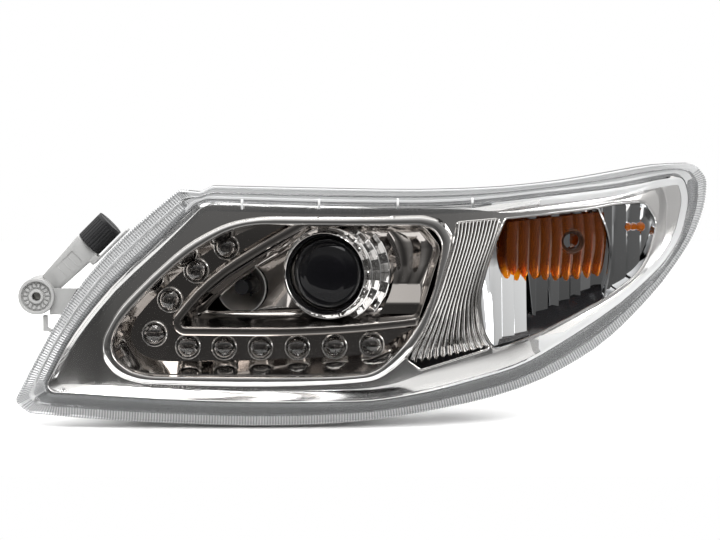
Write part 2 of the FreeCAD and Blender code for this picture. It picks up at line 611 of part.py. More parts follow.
def high_beam_reflector():
    """Round dish with a bulb neck; its rim sits in the surround."""
    r, deep = HIGH_BEAM_R, HIGH_BEAM_DEEP
    steps = 7
    front = [(deep * (1 - (1 - i / steps) ** 2) - deep * 0.0, r * (1 - i / steps) + 8.5 * i / steps)
             for i in range(steps + 1)]
    outer = [(0, r), (0, r + 0.7)] + [(y + 2.0, rad + 1.2) for y, rad in front[1:-1]]
    outer += [(deep + 2, 12.5), (deep + 14, 12.5), (deep + 14, 9.6), (deep, 9.6)]
    profile = outer + [p for p in front[::-1] if p[1] > 9.6][:-1]
    return lathe(profile, HIGH_BEAM, BEAM_YAW)


def high_beam_bulb():
    neck = HIGH_BEAM_DEEP + 14
    return joined([bulb(HIGH_BEAM, neck, 9.6, 5.5, 36, BEAM_YAW), bulb_plug(HIGH_BEAM, neck + 9, BEAM_YAW)])


def bulb_shield():
    """Cup on two legs that hides the filament of the high beam from the front; its feet sit on the dish."""
    cup = lathe([(1, 0), (1, 7.4), (14, 7.4), (14, 6.6), (2, 6.6), (2, 0)], HIGH_BEAM, BEAM_YAW)
    legs = []
    for side in (-1, 1):
        leg = Part.makeBox(2.2, 20, 0.8, V(-1.1, 12, side * 7.0 - 0.4))
        foot = Part.makeBox(2.2, 1.0, 5.5, V(-1.1, 31, 6.6 if side > 0 else -12.1))
        leg = leg.fuse(foot)
        leg.rotate(V(0, 0, 0), Z_AXIS, -BEAM_YAW)
        leg.translate(HIGH_BEAM)
        legs.append(leg)
    return joined([cup] + legs)


# ---- outboard chambers ------------------------------------------------------------------------------------------
def fluted_panel():
    """Panel between the two windows, its upright flutes cut in an even row."""
    line = grow(outline(FLUTE_LINE), 3.0)
    panel = between(depth(BEZEL_FRONT + BEZEL_THICK + FIT_GAP), depth(BEZEL_FRONT + 9), line)
    panel = panel.cut(prism(grow(CHAMBER, PAN_WIDE + FIT_GAP)))
    pitch = 8.0
    grooves = []
    for i in range(14):
        x = -52 + pitch * i
        y = sweep_y(x) + BEZEL_FRONT + BEZEL_THICK + FIT_GAP - 1.2
        grooves.append(Part.makeCylinder(3.6, 220, V(x, y, -110)))
    inside = between(depth(0), depth(BEZEL_FRONT + 6), outline(FLUTE_LINE))
    return panel.cut(joined(grooves).common(inside))


def turn_reflector():
    """Chrome pan behind the outboard window, with a pocket at the signal bulb and one at the marker bulb."""
    start = depth(BEZEL_FRONT + BEZEL_THICK + FIT_GAP)
    back_front, back_back = depth(PAN_FLOOR), depth(PAN_FLOOR + 2)
    wall = between(start, back_back, grow(CHAMBER, PAN_WIDE), grow(CHAMBER, PAN_WIDE - 1.8))
    floor = between(back_front, back_back, grow(CHAMBER, PAN_WIDE))
    x, z, r = TURN_HOLDER
    pocket = Part.makeCone(r + 10, r + 1.9, 30, V(x, -96, z), Y_AXIS)
    hollow = Part.makeCone(r + 8.2, r + 0.5, 30, V(x, -96.3, z), Y_AXIS)
    pocket = pocket.common(back_front)
    body = joined([wall, floor, pocket]).cut(hollow).cut(rod(x, z, -100, -58, r + 0.5))
    mx, mz, mr = MARKER_HOLDER
    body = body.cut(rod(mx, mz, -80, 0, mr + 0.5))
    line = outline(DIVIDER_LINE, closed=False)
    divider = divider_wall(line)
    return joined([body, divider.common(depth(BEZEL_FRONT + 5)).cut(back_back)])


def divider_wall(line):
    """A thin upright wall that follows an open line seen from the front."""
    points = [line.Edges[0].Vertexes[0].Point] + [e.valueAt(e.LastParameter) for e in line.Edges]
    thick = 2.0
    near = [V(p.x - thick / 2, 0, p.z) for p in points]
    far = [V(p.x + thick / 2, 0, p.z) for p in points]
    ring = near + far[::-1]
    return prism(Part.makePolygon(ring + ring[:1])).common(prism(grow(CHAMBER, 1.0)))


def amber_lens():
    """Amber inner lens in front of the signal bulb, with a rail round its back that sits in the pan."""
    line = outline(AMBER_LINE)
    sheet = between(depth(BEZEL_FRONT + 8), depth(BEZEL_FRONT + 10), line)
    rail = between(depth(BEZEL_FRONT + 8), depth(PAN_FLOOR - SEAT_GAP), line, grow(line, -1.8))
    upper = Part.makeBox(400, 400, 60, V(-100, -250, 55))
    return joined([sheet, rail.common(upper)])


def holder(x, z, r, y_back, bulb_y):
    """Twist-lock bulb holder: body through the hole, three lugs inside, flange, grip and plug outside."""
    inside = y_back - HOUSING_WALL
    gasket = 1.8
    body = rod(x, z, bulb_y, y_back + gasket + 3, r - FIT_GAP)
    flange = rod(x, z, y_back + gasket, y_back + gasket + 3, r + 5)
    lugs = [wedge(x, z, inside - 3.2, inside - 0.3, r - 1, r + 2.4, 90 + 120 * i, 10) for i in range(3)]
    grip = Part.makeBox(2 * r - 4, 13, 0.9 * r, V(x - r + 2, y_back + gasket + 2.5, z - 0.45 * r))
    mouth = Part.makeBox(2 * r - 8, 8, 0.9 * r - 4, V(x - r + 4, y_back + gasket + 9, z - 0.45 * r + 2))
    return joined([body, flange, grip] + lugs).cut(mouth)


def holder_gasket(x, z, r, y_back):
    return tube(x, z, y_back + 0.1, y_back + 1.8, r + 4.4, r + 3.2)


def glass_bulb(x, z, r, long, y_base):
    """Wedge bulb: a base in its holder and a round-nosed glass in front."""
    profile = [(y_base - long, 0), (y_base - long + 1.2, r * 0.55), (y_base - long + 4, r * 0.92),
               (y_base - long + 8, r), (y_base - 6, r), (y_base - 2, r * 0.8), (y_base, r * 0.8), (y_base, 0)]
    return lathe(profile, V(x, 0, z))


# ---- twist caps -------------------------------------------------------------------------------------------------
def twist_cap(x, z, r):
    """Service cap: its inner ledge hooks under the collar's lugs, with notches a twist away."""
    y = BOWL_BACK_Y
    inner = r + 2.6 + FIT_GAP
    outer = r + 5.4
    profile = [(y + 1.5, inner), (y + 1.5, outer + CAP_WALL), (y + CAP_DEEP - 3, outer + CAP_WALL),
               (y + CAP_DEEP, outer + CAP_WALL - 3), (y + CAP_DEEP, 0), (y + CAP_DEEP - CAP_WALL, 0),
               (y + CAP_DEEP - CAP_WALL, outer), (y + 4.8, outer), (y + 4.8, inner)]
    cap = lathe(profile, V(x, 0, z))
    for i in range(3):
        cap = cap.cut(wedge(x, z, y, y + 6, r, outer, 90 + CAP_TWIST + 120 * i, 11))
    grips = [wedge(x, z, y + 6, y + CAP_DEEP - 4, outer + 1, outer + CAP_WALL + 1.6, 15 * i, 2.2)
             for i in range(24)]
    handle = Part.makeBox(2 * r - 10, 9, 7, V(x - r + 5, y + CAP_DEEP - 0.5, z - 3.5))
    return joined([cap, handle] + grips)


def cap_gasket(x, z, r):
    return tube(x, z, BOWL_BACK_Y + 0.1, BOWL_BACK_Y + 1.5, r + 7.6, r + 3.2)


# ---- aim adjusters ----------------------------------------------------------------------------------------------
def swing(shape, x, z, y, way):
    """Moves a piece built about the crossing of the gear axes, with its knob along +X, to its adjuster."""
    shape.rotate(V(0, 0, 0), Y_AXIS, -way)
    shape.translate(V(x, y, z))
    return shape


CROWN_R = GEAR_MODULE * CROWN_TEETH / 2
PINION_R = GEAR_MODULE * PINION_TEETH / 2
CASE_FRONT = -10.5
CASE_BACK = 16.0
GUARD_GAP = 2.0


def bevel_teeth(count, own_r, other_r, phase):
    """Teeth of a straight bevel gear about +X whose apex is the origin."""
    cone = atan2(own_r, other_r)
    long = hypot(own_r, other_r)
    share = 1 - GEAR_FACE / long
    rise, drop = 0.75 * GEAR_MODULE, 1.05 * GEAR_MODULE
    tip, root = 0.26 * GEAR_MODULE, 0.80 * GEAR_MODULE
    quad = [(-drop, -root), (-drop, root), (rise, tip), (rise, -tip)]
    teeth = []
    for i in range(count):
        wires = []
        for scale in (1.0, share):
            corners = []
            for high, side in quad:
                along = other_r * scale - high * scale * sin(cone)
                radial = own_r * scale + high * scale * cos(cone)
                corners.append(V(along, side * scale, radial))
            wires.append(Part.makePolygon(corners + corners[:1]))
        tooth = Part.makeLoft(wires, True, True)
        tooth.rotate(V(0, 0, 0), V(1, 0, 0), phase + 360 * i / count)
        teeth.append(tooth)
    return teeth


def gear_blank(own_r, other_r, back, hub_r):
    """Root cone of a bevel gear about +X with a hub behind it."""
    cone = atan2(own_r, other_r)
    long = hypot(own_r, other_r)
    share = 1 - GEAR_FACE / long
    drop = 0.95 * GEAR_MODULE
    along, radial = other_r + drop * sin(cone), own_r - drop * cos(cone)
    corners = [V(along * share, 0, 0), V(along * share, 0, radial * share), V(along, 0, radial),
               V(along + 1.2, 0, hub_r), V(along + back, 0, hub_r), V(along + back, 0, 0)]
    face = Part.Face(Part.makePolygon(corners + corners[:1]))
    turned = face.revolve(V(0, 0, 0), V(1, 0, 0), 360)
    return Part.Solid(turned.Shells[0]) if turned.ShapeType != "Solid" else turned


def drive_shaft(x, z, y, way):
    """Knob shaft with its bevel pinion."""
    blank = gear_blank(PINION_R, CROWN_R, 5.0, 5.0)
    long = KNOB_FROM + KNOB_LONG - 4 - CROWN_R
    shaft = Part.makeCylinder(SHAFT_R, long, V(CROWN_R, 0, 0), V(1, 0, 0))
    teeth = bevel_teeth(PINION_TEETH, PINION_R, CROWN_R, -90)
    return swing(joined([blank, shaft] + teeth), x, z, y, way)


def crown_gear(x, z, y, way):
    """Bevel wheel about +Y, tapped for the stud."""
    blank = gear_blank(CROWN_R, PINION_R, 5.0, 9.0)
    wheel = joined([blank] + bevel_teeth(CROWN_TEETH, CROWN_R, PINION_R, 360 / CROWN_TEETH / 2))
    wheel = wheel.cut(Part.makeCylinder(STUD_R + RUN_GAP, 60, V(-20, 0, 0), V(1, 0, 0)))
    wheel.rotate(V(0, 0, 0), Z_AXIS, 90)
    return swing(wheel, x, z, y, way)


def aim_stud(x, z, y, way):
    """Stud with a flatted head that the case keeps from turning and a plain, thicker end outside it."""
    front = CASE_FRONT + CASE_WALL + 0.8
    shoulder = CASE_BACK + LID_RIM + STUD_TRAVEL + 0.5
    stem = Part.makeCylinder(STUD_R, shoulder + 1 - front, V(0, front, 0), Y_AXIS)
    stem = stem.cut(Part.makeBox(20, 7.0, 20, V(STUD_R - 0.8, front - 0.5, -10)))
    end = Part.makeCylinder(STUD_END_R, STUD_END, V(0, shoulder, 0), Y_AXIS)
    tip = Part.makeCone(STUD_END_R, STUD_END_R - 1, 1, V(0, shoulder + STUD_END, 0), Y_AXIS)
    return swing(joined([stem, end, tip]), x, z, y, way)


def aim_knob(x, z, y, way):
    body = Part.makeCylinder(KNOB_R, KNOB_LONG, V(KNOB_FROM, 0, 0), V(1, 0, 0))
    flutes = []
    count = 28
    for i in range(count):
        at = 2 * pi * i / count
        spot = V(KNOB_FROM - 1, (KNOB_R + 0.5) * cos(at), (KNOB_R + 0.5) * sin(at))
        flutes.append(Part.makeCylinder(1.15, KNOB_LONG - 2, spot, V(1, 0, 0)))
    body = body.cut(joined(flutes))
    body = body.cut(Part.makeCylinder(SHAFT_R, KNOB_LONG - 4, V(KNOB_FROM, 0, 0), V(1, 0, 0)))
    slot = Part.makeBox(3, 2.5, 2 * KNOB_R, V(KNOB_FROM + KNOB_LONG - 2.5, -1.25, -KNOB_R))
    return swing(body.cut(slot), x, z, y, way)


def adjuster_case(x, z, y, way):
    """Gear case and shaft arm in one moulding, open at the back for the lid."""
    deep = CASE_BACK - CASE_FRONT
    body = Part.makeCylinder(CASE_R, deep, V(0, CASE_FRONT, 0), Y_AXIS)
    arm = Part.makeCone(ARM_R - 5.5, ARM_R - 1.5, KNOB_FROM - FIT_GAP - 6, V(6, 0, 0), V(1, 0, 0))
    guard = Part.makeBox(KNOB_LONG + 8, 24, 2.4, V(KNOB_FROM - 10, -12, -KNOB_R - GUARD_GAP - 2.4))
    foot = Part.makeBox(16, 20, 8, V(KNOB_FROM - 18, -10, -KNOB_R - 2))
    body = joined([body, arm, guard, foot])
    room = Part.makeCylinder(CASE_R - CASE_WALL, deep, V(0, CASE_FRONT + CASE_WALL, 0), Y_AXIS)
    bore = Part.makeCylinder(SHAFT_R + RUN_GAP, KNOB_FROM, V(CASE_R - 3, 0, 0), V(1, 0, 0))
    arm_hollow = Part.makeCylinder(PINION_R + GEAR_MODULE - 0.2, CROWN_R, V(6, 0, 0), V(1, 0, 0))
    front_hole = Part.makeCylinder(STUD_R + RUN_GAP, 20, V(0, CASE_FRONT - 5, 0), Y_AXIS)
    return swing(body.cut(room).cut(bore).cut(arm_hollow).cut(front_hole), x, z, y, way)


def adjuster_lid(x, z, y, way):
    """Lid that closes the case and carries the crown gear's hub."""
    front = PINION_R + 0.95 * GEAR_MODULE * sin(atan2(CROWN_R, PINION_R)) + 5.0 + 0.2
    r = CASE_R - CASE_WALL - 0.1
    lid = Part.makeCylinder(r, CASE_BACK - front, V(0, front, 0), Y_AXIS)
    rim = Part.makeCylinder(CASE_R, LID_RIM, V(0, CASE_BACK, 0), Y_AXIS)
    lid = lid.fuse(rim)
    return swing(lid.cut(Part.makeCylinder(STUD_R + RUN_GAP, 40, V(0, 0, 0), Y_AXIS)), x, z, y, way)


def adjuster_mount(name, x, z, y, way):
    """Webs and pads of the housing that carry an adjuster's case."""
    if name == "inboard":
        front = y + CASE_FRONT - LUG_THICK
        plate = Part.makeBox(64, LUG_THICK, 27, V(x + CASE_R - 6, front, z - 19))
        seat = rod(x, z, front, y + CASE_FRONT, CASE_R).cut(rod(x, z, -200, 0, STUD_R + 1))
        rib = Part.makeBox(50, 12, 3, V(x + CASE_R + 1, y + CASE_FRONT - 1, z - 12))
        under = z - CASE_R - 15
        strut = Part.makeBox(52, 8, 3, V(x + 6, front, under))
        strut.rotate(V(x + 6, 0, under), Y_AXIS, 25)
        hang = Part.makeBox(4, 8, 16, V(x + 6, front, under - 2))
        pieces = [plate, rib, strut, hang]
        inside = prism(grow(BEZEL, 1.0))
        return [seat] + [p.cut(inside) for p in pieces]
    pads = [stand(x, z, y + CASE_FRONT, CASE_R)]
    pads[0] = pads[0].cut(rod(x, z, y - 22, 20, STUD_R + 1.5))
    return pads


# ---- small parts ------------------------------------------------------------------------------------------------
def pivot_grommet():
    body = rod(0, 0, -PIVOT_DEEP, 0, PIVOT_BORE_R + GROMMET_WALL)
    return body.cut(rod(0, 0, -PIVOT_DEEP - 1, 1, PIVOT_BORE_R))


def housing_screws():
    screws = []
    for x, z in SHELF_SCREWS:
        y = max(sweep_y(x - SCREW_HEAD_R), sweep_y(x + SCREW_HEAD_R)) + SHELF_BACK
        screws.append(rod(x, z, y, y + SCREW_HEAD, SCREW_HEAD_R).fuse(rod(x, z, y - 22, y + 1, SCREW_R - 0.05)))
    return Part.makeCompound(screws)


def vent_boots():
    boots = []
    for x, z in VENTS:
        cup = rod(x, z, BOWL_BACK_Y + 0.5, BOWL_BACK_Y + 16, 7).cut(rod(x, z, BOWL_BACK_Y, BOWL_BACK_Y + 6, 4.0))
        spout = Part.makeCylinder(4.2, 16, V(x, BOWL_BACK_Y + 10.5, z), V(0, 0, -1))
        boots.append(cup.fuse(spout).cut(Part.makeCylinder(2.5, 20, V(x, BOWL_BACK_Y + 10.5, z), V(0, 0, -1))))
    return Part.makeCompound(boots)


CONNECTOR = (-300.0, 8.0)     # x and z of the plug-in connector on the housing's back
CONNECTOR_SIZE = (40.0, 24.0, 22.0)
CONNECTOR_WALL = 2.0


def connector_shell():
    x, z = CONNECTOR
    wide, deep, high = CONNECTOR_SIZE
    wall = CONNECTOR_WALL
    base = Part.makeBox(wide + 10, 3, high + 10, V(x - wide / 2 - 5, BOWL_BACK_Y, z - high / 2 - 5))
    shell = Part.makeBox(wide, deep, high, V(x - wide / 2, BOWL_BACK_Y, z - high / 2))
    room = Part.makeBox(wide - 2 * wall, deep, high - 2 * wall,
                        V(x - wide / 2 + wall, BOWL_BACK_Y + 4, z - high / 2 + wall))
    latch = Part.makeBox(10, 8, 2.5, V(x - 5, BOWL_BACK_Y + deep - 12, z + high / 2))
    return joined([base, shell, latch]).cut(room)


def connector_pins():
    x, z = CONNECTOR
    pins = [Part.makeBox(2.8, 14, 0.8, V(x + 8 * i - 1.4, BOWL_BACK_Y + 4, z + 4.5 * k - 0.4))
            for i in (-1.5, -0.5, 0.5, 1.5) for k in (-1, 1)]
    return Part.makeCompound(pins)


# ---- every node -------------------------------------------------------------------------------------------------
def nodes():
    made = {
        "outer_lens": outer_lens(),
        "lens_seal": lens_seal(),
        "rear_housing": rear_housing(),
        "main_bezel": main_bezel(),
        "led_tray": led_tray(),
        "led_board": led_board(),
        "led_emitters": led_emitters(),
        "beam_surround": beam_surround(),
        "projector_lens": projector_lens(),
        "lens_holder": lens_holder(),
        "projector_shroud": shroud(),
        "projector_bracket": projector_bracket(),
        "bracket_screws": bracket_screws(),
        "projector_bowl": projector_bowl(),
        "cutoff_shield": cutoff_shield(),
        "low_beam_bulb": low_beam_bulb(),
        "high_beam_reflector": high_beam_reflector(),
        "high_beam_bulb": high_beam_bulb(),
        "bulb_shield": bulb_shield(),
        "fluted_panel": fluted_panel(),
        "turn_reflector": turn_reflector(),
        "amber_lens": amber_lens(),
        "turn_holder": holder(*TURN_HOLDER, TURN_BOSS_BACK_Y, -60),
        "turn_holder_gasket": holder_gasket(*TURN_HOLDER, TURN_BOSS_BACK_Y),
        "turn_bulb": glass_bulb(TURN_HOLDER[0], TURN_HOLDER[1], 9.5, 32, -60),
        "marker_holder": holder(*MARKER_HOLDER, MARKER_BOSS_BACK_Y, -44),
        "marker_holder_gasket": holder_gasket(*MARKER_HOLDER, MARKER_BOSS_BACK_Y),
        "marker_bulb": glass_bulb(MARKER_HOLDER[0], MARKER_HOLDER[1], 6.0, 22, -44),
        "low_beam_cap": twist_cap(*LOW_CAP),
        "low_beam_cap_gasket": cap_gasket(*LOW_CAP),
        "high_beam_cap": twist_cap(*HIGH_CAP),
        "high_beam_cap_gasket": cap_gasket(*HIGH_CAP),
        "pivot_grommet": pivot_grommet(),
        "housing_screws": housing_screws(),
        "vent_boots": vent_boots(),
        "connector_shell": connector_shell(),
        "connector_pins": connector_pins(),
    }
    for i, (x, z) in enumerate(LED_PLACES):
        made[f"led_lens_{i + 1:02d}"] = led_lens(x, z)
    for name, x, z, y, way in ADJUSTERS:
        made[f"{name}_adjuster_case"] = adjuster_case(x, z, y, way)
        made[f"{name}_adjuster_lid"] = adjuster_lid(x, z, y, way)
        made[f"{name}_aim_knob"] = aim_knob(x, z, y, way)
        made[f"{name}_drive_shaft"] = drive_shaft(x, z, y, way)
        made[f"{name}_crown_gear"] = crown_gear(x, z, y, way)
        made[f"{name}_aim_stud"] = aim_stud(x, z, y, way)
    return made


def main():
    os.makedirs("parts", exist_ok=True)
    for name, shape in nodes().items():
        bad = "" if shape.isValid() else "  NOT VALID"
        print(f"{name:26s} solids {len(shape.Solids):2d}  volume {shape.Volume / 1000:9.2f} cm3{bad}")
        shape.exportStep(f"parts/{name}.step")


main()
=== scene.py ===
"""Left-hand truck headlight: the finished surfaces of the assembly, its light and its camera."""
import json
import math

import bmesh
import bpy
import numpy as np
from mathutils import Matrix, Vector

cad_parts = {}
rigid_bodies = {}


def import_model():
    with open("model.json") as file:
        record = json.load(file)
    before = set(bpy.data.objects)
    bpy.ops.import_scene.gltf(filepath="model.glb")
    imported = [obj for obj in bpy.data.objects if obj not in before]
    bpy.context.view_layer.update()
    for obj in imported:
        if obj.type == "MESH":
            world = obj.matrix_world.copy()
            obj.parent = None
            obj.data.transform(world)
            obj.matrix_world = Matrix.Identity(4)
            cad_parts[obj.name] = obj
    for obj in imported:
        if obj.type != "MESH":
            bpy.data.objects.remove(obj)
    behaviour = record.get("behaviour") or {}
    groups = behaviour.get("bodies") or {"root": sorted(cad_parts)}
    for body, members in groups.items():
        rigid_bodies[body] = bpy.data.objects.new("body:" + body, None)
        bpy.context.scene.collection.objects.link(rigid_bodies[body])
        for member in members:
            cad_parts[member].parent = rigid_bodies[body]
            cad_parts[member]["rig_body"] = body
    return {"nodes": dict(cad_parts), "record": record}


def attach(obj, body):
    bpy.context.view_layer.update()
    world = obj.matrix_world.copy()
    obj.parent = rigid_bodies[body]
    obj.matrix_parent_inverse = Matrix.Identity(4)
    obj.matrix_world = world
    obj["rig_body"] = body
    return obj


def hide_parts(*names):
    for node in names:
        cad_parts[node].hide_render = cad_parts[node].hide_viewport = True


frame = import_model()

bl_info = {
    "name": "Truck headlight",
    "version": (1, 0, 0),
    "blender": (4, 5, 0),
    "location": "3D View > Sidebar > Headlight",
    "description": "Builds the finished surfaces, materials and stage of a truck headlight",
    "category": "Object",
}

# Sizes are in millimetres and are turned into metres where vertices are placed.
MM = 0.001
AUTO_SHARE = 0.45         # share of the shorter neighbour that a smoothing arc may use
SLICE = 12.0              # width of the strips in which a flat sheet follows the sweep
LENS_THICK = 3.0
FACE_GAP = 4.0            # from the bezel's outline out to the flat of the flange
RIM_GAP = 3.4             # from the flat of the flange out to its own outline
PLATE_FACE = 16.0         # depth of the bezel's plate behind the sweep
PLATE_THICK = 2.0

# Outlines seen from the front: x, z and, at a real corner, its radius. All run clockwise.
FLANGE_LINE = [(-454, -107, 8), (-418, -39), (-382, 18), (-335, 68), (-283, 110, 8), (-262, 108, 4),
               (-249, 114, 6), (-160, 112), (-40, 109), (45, 111), (110, 117), (165, 125), (212, 132),
               (262, 132, 22), (278, 115, 18), (276, 86), (262, 51), (226, 3), (160, -57), (92, -91),
               (37, -107), (-60, -123), (-120, -129), (-210, -131), (-345, -126), (-438, -119, 10)]
BEZEL_LINE = [(-422, -95, 8), (-395, -41), (-353, 12), (-307, 54), (-265, 95, 8), (-254, 99, 8), (-217, 98),
              (-120, 95), (-25, 94), (20, 96), (84, 102), (173, 110), (220, 118), (245, 120, 12), (253, 95),
              (244, 55), (223, 26), (175, -13), (112, -49), (66, -73), (-25, -95), (-57, -100), (-88, -104),
              (-213, -104), (-303, -101), (-384, -96)]
LEDGE_LINE = [(-411, -87, 6), (-390, -44), (-348, 9), (-302, 50), (-261, 91, 8), (-252, 95, 8),
              (-217, 94.5), (-120, 91.5), (-25, 90), (18, 89), (50, 84), (100, 87), (146, 90.5), (168, 94),
              (203, 95, 14), (220, 74, 12), (217, 57), (208, 30), (196, 13), (166, -8), (117, -30),
              (90, -43), (39, -59), (-36, -77), (-58, -86), (-90, -92), (-213, -94), (-303, -91),
              (-380, -87)]
RIM_LINE = [(-233, 77), (-200, 83), (-119, 82), (-34, 83), (-16, 78), (-6, 61), (-8, 47), (-22, 0),
            (-32, -30), (-47, -54), (-65, -71), (-84, -83), (-120, -86), (-192, -88), (-260, -87),
            (-325, -85), (-348, -76), (-360, -59), (-360, -41), (-345, -12), (-310, 24), (-272, 57)]
WINDOW_LINE = [(-233, 69), (-208, 75), (-119, 74), (-38, 73), (-24, 68), (-17, 55), (-18, 44), (-25, 7),
               (-36, -19), (-47, -37), (-65, -58), (-86, -75), (-120, -78), (-192, -78), (-312, -77),
               (-333, -72), (-347, -60), (-351, -47), (-346, -29), (-331, -10), (-298, 24), (-265, 51)]
FLUTE_LINE = [(0, 75, 3), (43, 78, 3), (37, 57), (26, 26), (19, -4), (24, -36), (34, -53, 3), (-38, -73, 3),
              (-52, -63, 3), (-36, -36), (-22, -6), (-7, 42), (-2, 62)]
CHAMBER_LINE = [(50, 78, 3), (146, 86), (168, 90), (203, 91, 14), (216, 72, 12), (213, 57), (204, 31),
                (193, 16), (164, -4), (115, -26), (88, -39), (39, -55, 3), (28, -36), (23, -4), (30, 26),
                (41, 57)]
BEAM_LINE = [(-287, -29, 5), (-260, 4), (-234, 26), (-199, 48), (-152, 74, 10), (-36, 73, 14),
             (-18, 50, 14), (-40, -22, 8), (-101, -27), (-170, -30)]
# The band between the light strip and the beam opening: an open line from the top rim to the right rim.
BAND_LINE = [(-150, 76), (-199, 48), (-234, 26), (-260, 4), (-287, -29, 5), (-170, -30), (-101, -27),
             (-38, -21)]
APRON_LINE = [(-196, 77), (-233, 69), (-265, 51), (-298, 24), (-331, -10), (-346, -29), (-351, -47),
              (-347, -60), (-333, -72), (-312, -77), (-192, -78), (-120, -78), (-86, -75), (-65, -58),
              (-47, -37)]
FLUTE_LEFT = [(-1, 76), (-2, 62), (-7, 42), (-22, -6), (-36, -36), (-53, -66)]
FLUTE_RIGHT = [(44, 79), (38, 57), (27, 26), (20, -4), (25, -36), (35, -54)]
LED_PLACES = [(-236, 51), (-267, 27), (-294, -3), (-310, -38), (-276, -51),
              (-239, -52), (-202, -52), (-164, -52), (-126, -51), (-88, -49)]
TRAY_FLOOR_Y = -156.0
BOWL_FLOOR_Y = -146.0
BEAM_YAW = math.radians(15)
PROJECTOR = Vector((-136, -170, 24))
HIGH_BEAM = Vector((-222, -144, 8))
DISH_R = 25.6
TURN_AXIS = (123.0, 53.0)
MARKER_AXIS = (193.0, 65.0)
INBOARD_ADJUSTER = Vector((-431, -140, 0))
LUG_WAY = (-57 / 67.4, 0, 36 / 67.4)    # square to the slope of the flange on the inboard side
LUG_START = 0.3335                      # metres that way from the origin, where the lug begins


# ---- outlines ------------------------------------------------------------------------------------
def sweep_y(x):
    """Where the front of the lens is at x: it sweeps back outboard."""
    out = np.maximum(0.0, (np.asarray(x) + 230) / 510)
    back = np.maximum(0.0, (-230 - np.asarray(x)) / 220)
    return -200 + 165 * out ** 2.4 + 8 * back ** 2


def rounded(points, closed=True):
    """Points along a polygon whose corners are rounded by their own radius, or by as much as fits."""
    count, line = len(points), []
    for i, point in enumerate(points):
        p = Vector(point[:2])
        if not closed and i in (0, count - 1):
            line.append(p)
            continue
        back, ahead = Vector(points[i - 1][:2]) - p, Vector(points[(i + 1) % count][:2]) - p
        limit = AUTO_SHARE * min(back.length, ahead.length)
        turn = math.pi - back.angle(ahead)
        reach = limit if len(point) < 3 else min(limit, point[2] * math.tan(turn / 2))
        radius = reach / math.tan(turn / 2)
        inward = (back.normalized() + ahead.normalized()).normalized()
        centre = p + inward * radius / math.cos(turn / 2)
        start, end = back.normalized() * reach + p - centre, ahead.normalized() * reach + p - centre
        way = 1 if start.x * end.y > start.y * end.x else -1
        steps = max(2, round(turn / 0.08))
        for k in range(steps + 1):
            angle = way * turn * k / steps
            line.append(centre + Vector((start.x * math.cos(angle) - start.y * math.sin(angle),
                                         start.x * math.sin(angle) + start.y * math.cos(angle))))
    return np.array([tuple(p) for p in line])


def spaced(line, count, closed=True):
    """The line again, as count evenly spaced points."""
    line = np.vstack([line, line[:1]]) if closed else line
    run = np.concatenate([[0], np.cumsum(np.hypot(*np.diff(line, axis=0).T))])
    at = np.linspace(0, run[-1], count + 1)[:-1] if closed else np.linspace(0, run[-1], count)
    return np.column_stack([np.interp(at, run, line[:, 0]), np.interp(at, run, line[:, 1])])


def normals(line, closed=True):
    """Unit normals to the left of the way the line runs, which is outwards on a clockwise outline."""
    if closed:
        step = np.roll(line, -1, axis=0) - np.roll(line, 1, axis=0)
    else:
        step = np.gradient(line, axis=0)
    step /= np.hypot(*step.T)[:, None] + 1e-12
    return np.column_stack([-step[:, 1], step[:, 0]])


def grown(line, distance, closed=True):
    """The line moved outwards. Points that a tight corner would turn over are drawn together."""
    moved = line + normals(line, closed) * distance
    near = np.sqrt(((moved[:, None] - line[None]) ** 2).sum(-1)).min(1)
    good = near > abs(distance) - 0.06 - 0.02 * abs(distance)
    if good.all() or not good.any():
        return moved
    places = np.arange(len(line))
    kept = places[good]
    if closed:
        kept = np.concatenate([kept - len(line), kept, kept + len(line)])
    ahead = np.clip(np.searchsorted(kept, places), 0, len(kept) - 1)
    before = np.clip(ahead - 1, 0, len(kept) - 1)
    nearer = np.where(kept[ahead] - places <= places - kept[before], kept[ahead], kept[before])
    return moved[nearer % len(line)]


def matched(outer, inner, wide=9):
    """Places on the inner outline, as fractions of its points, that face the points of the outer one."""
    count = len(inner)
    nearest = ((outer[:, None] - inner[None]) ** 2).sum(-1).argmin(1).astype(float)
    step = np.diff(nearest)
    step = np.where(step < -count / 2, step + count, np.where(step > count / 2, step - count, step))
    way = np.concatenate([[nearest[0]], nearest[0] + np.cumsum(step)])
    way = np.maximum.accumulate(way)
    long = np.concatenate([way[-wide:] - count, way, way[:wide] + count])
    return np.convolve(long, np.ones(2 * wide + 1) / (2 * wide + 1), "valid")


def picked(line, places):
    """Points of a closed line at fractional places along it."""
    low = np.floor(places).astype(int)
    share = (places - low)[:, None]
    return line[low % len(line)] * (1 - share) + line[(low + 1) % len(line)] * share


def behind(line, d):
    """The line set d behind the sweep of the lens front."""
    return np.column_stack([line[:, 0], sweep_y(line[:, 0]) + d, line[:, 1]])


def upright(line, y):
    """The line in the upright plane at y."""
    return np.column_stack([line[:, 0], np.full(len(line), y), line[:, 1]])


# ---- modelling -----------------------------------------------------------------------------------
def deselect():
    """Back to object mode with nothing selected."""
    if bpy.context.object and bpy.context.object.mode != "OBJECT":
        bpy.ops.object.mode_set(mode="OBJECT")
    bpy.ops.object.select_all(action="DESELECT")


def activate(o):
    """Selects one piece alone and makes it the active one."""
    deselect()
    o.select_set(True)
    bpy.context.view_layer.objects.active = o


def place(o, ring):
    """Puts the selected vertices on a ring, each by the number it inherited."""
    mesh = bmesh.from_edit_mesh(o.data)
    layer = mesh.verts.layers.int["spot"]
    for v in mesh.verts:
        if v.select:
            v.co = Vector(ring[v[layer]]) * MM
    bmesh.update_edit_mesh(o.data)


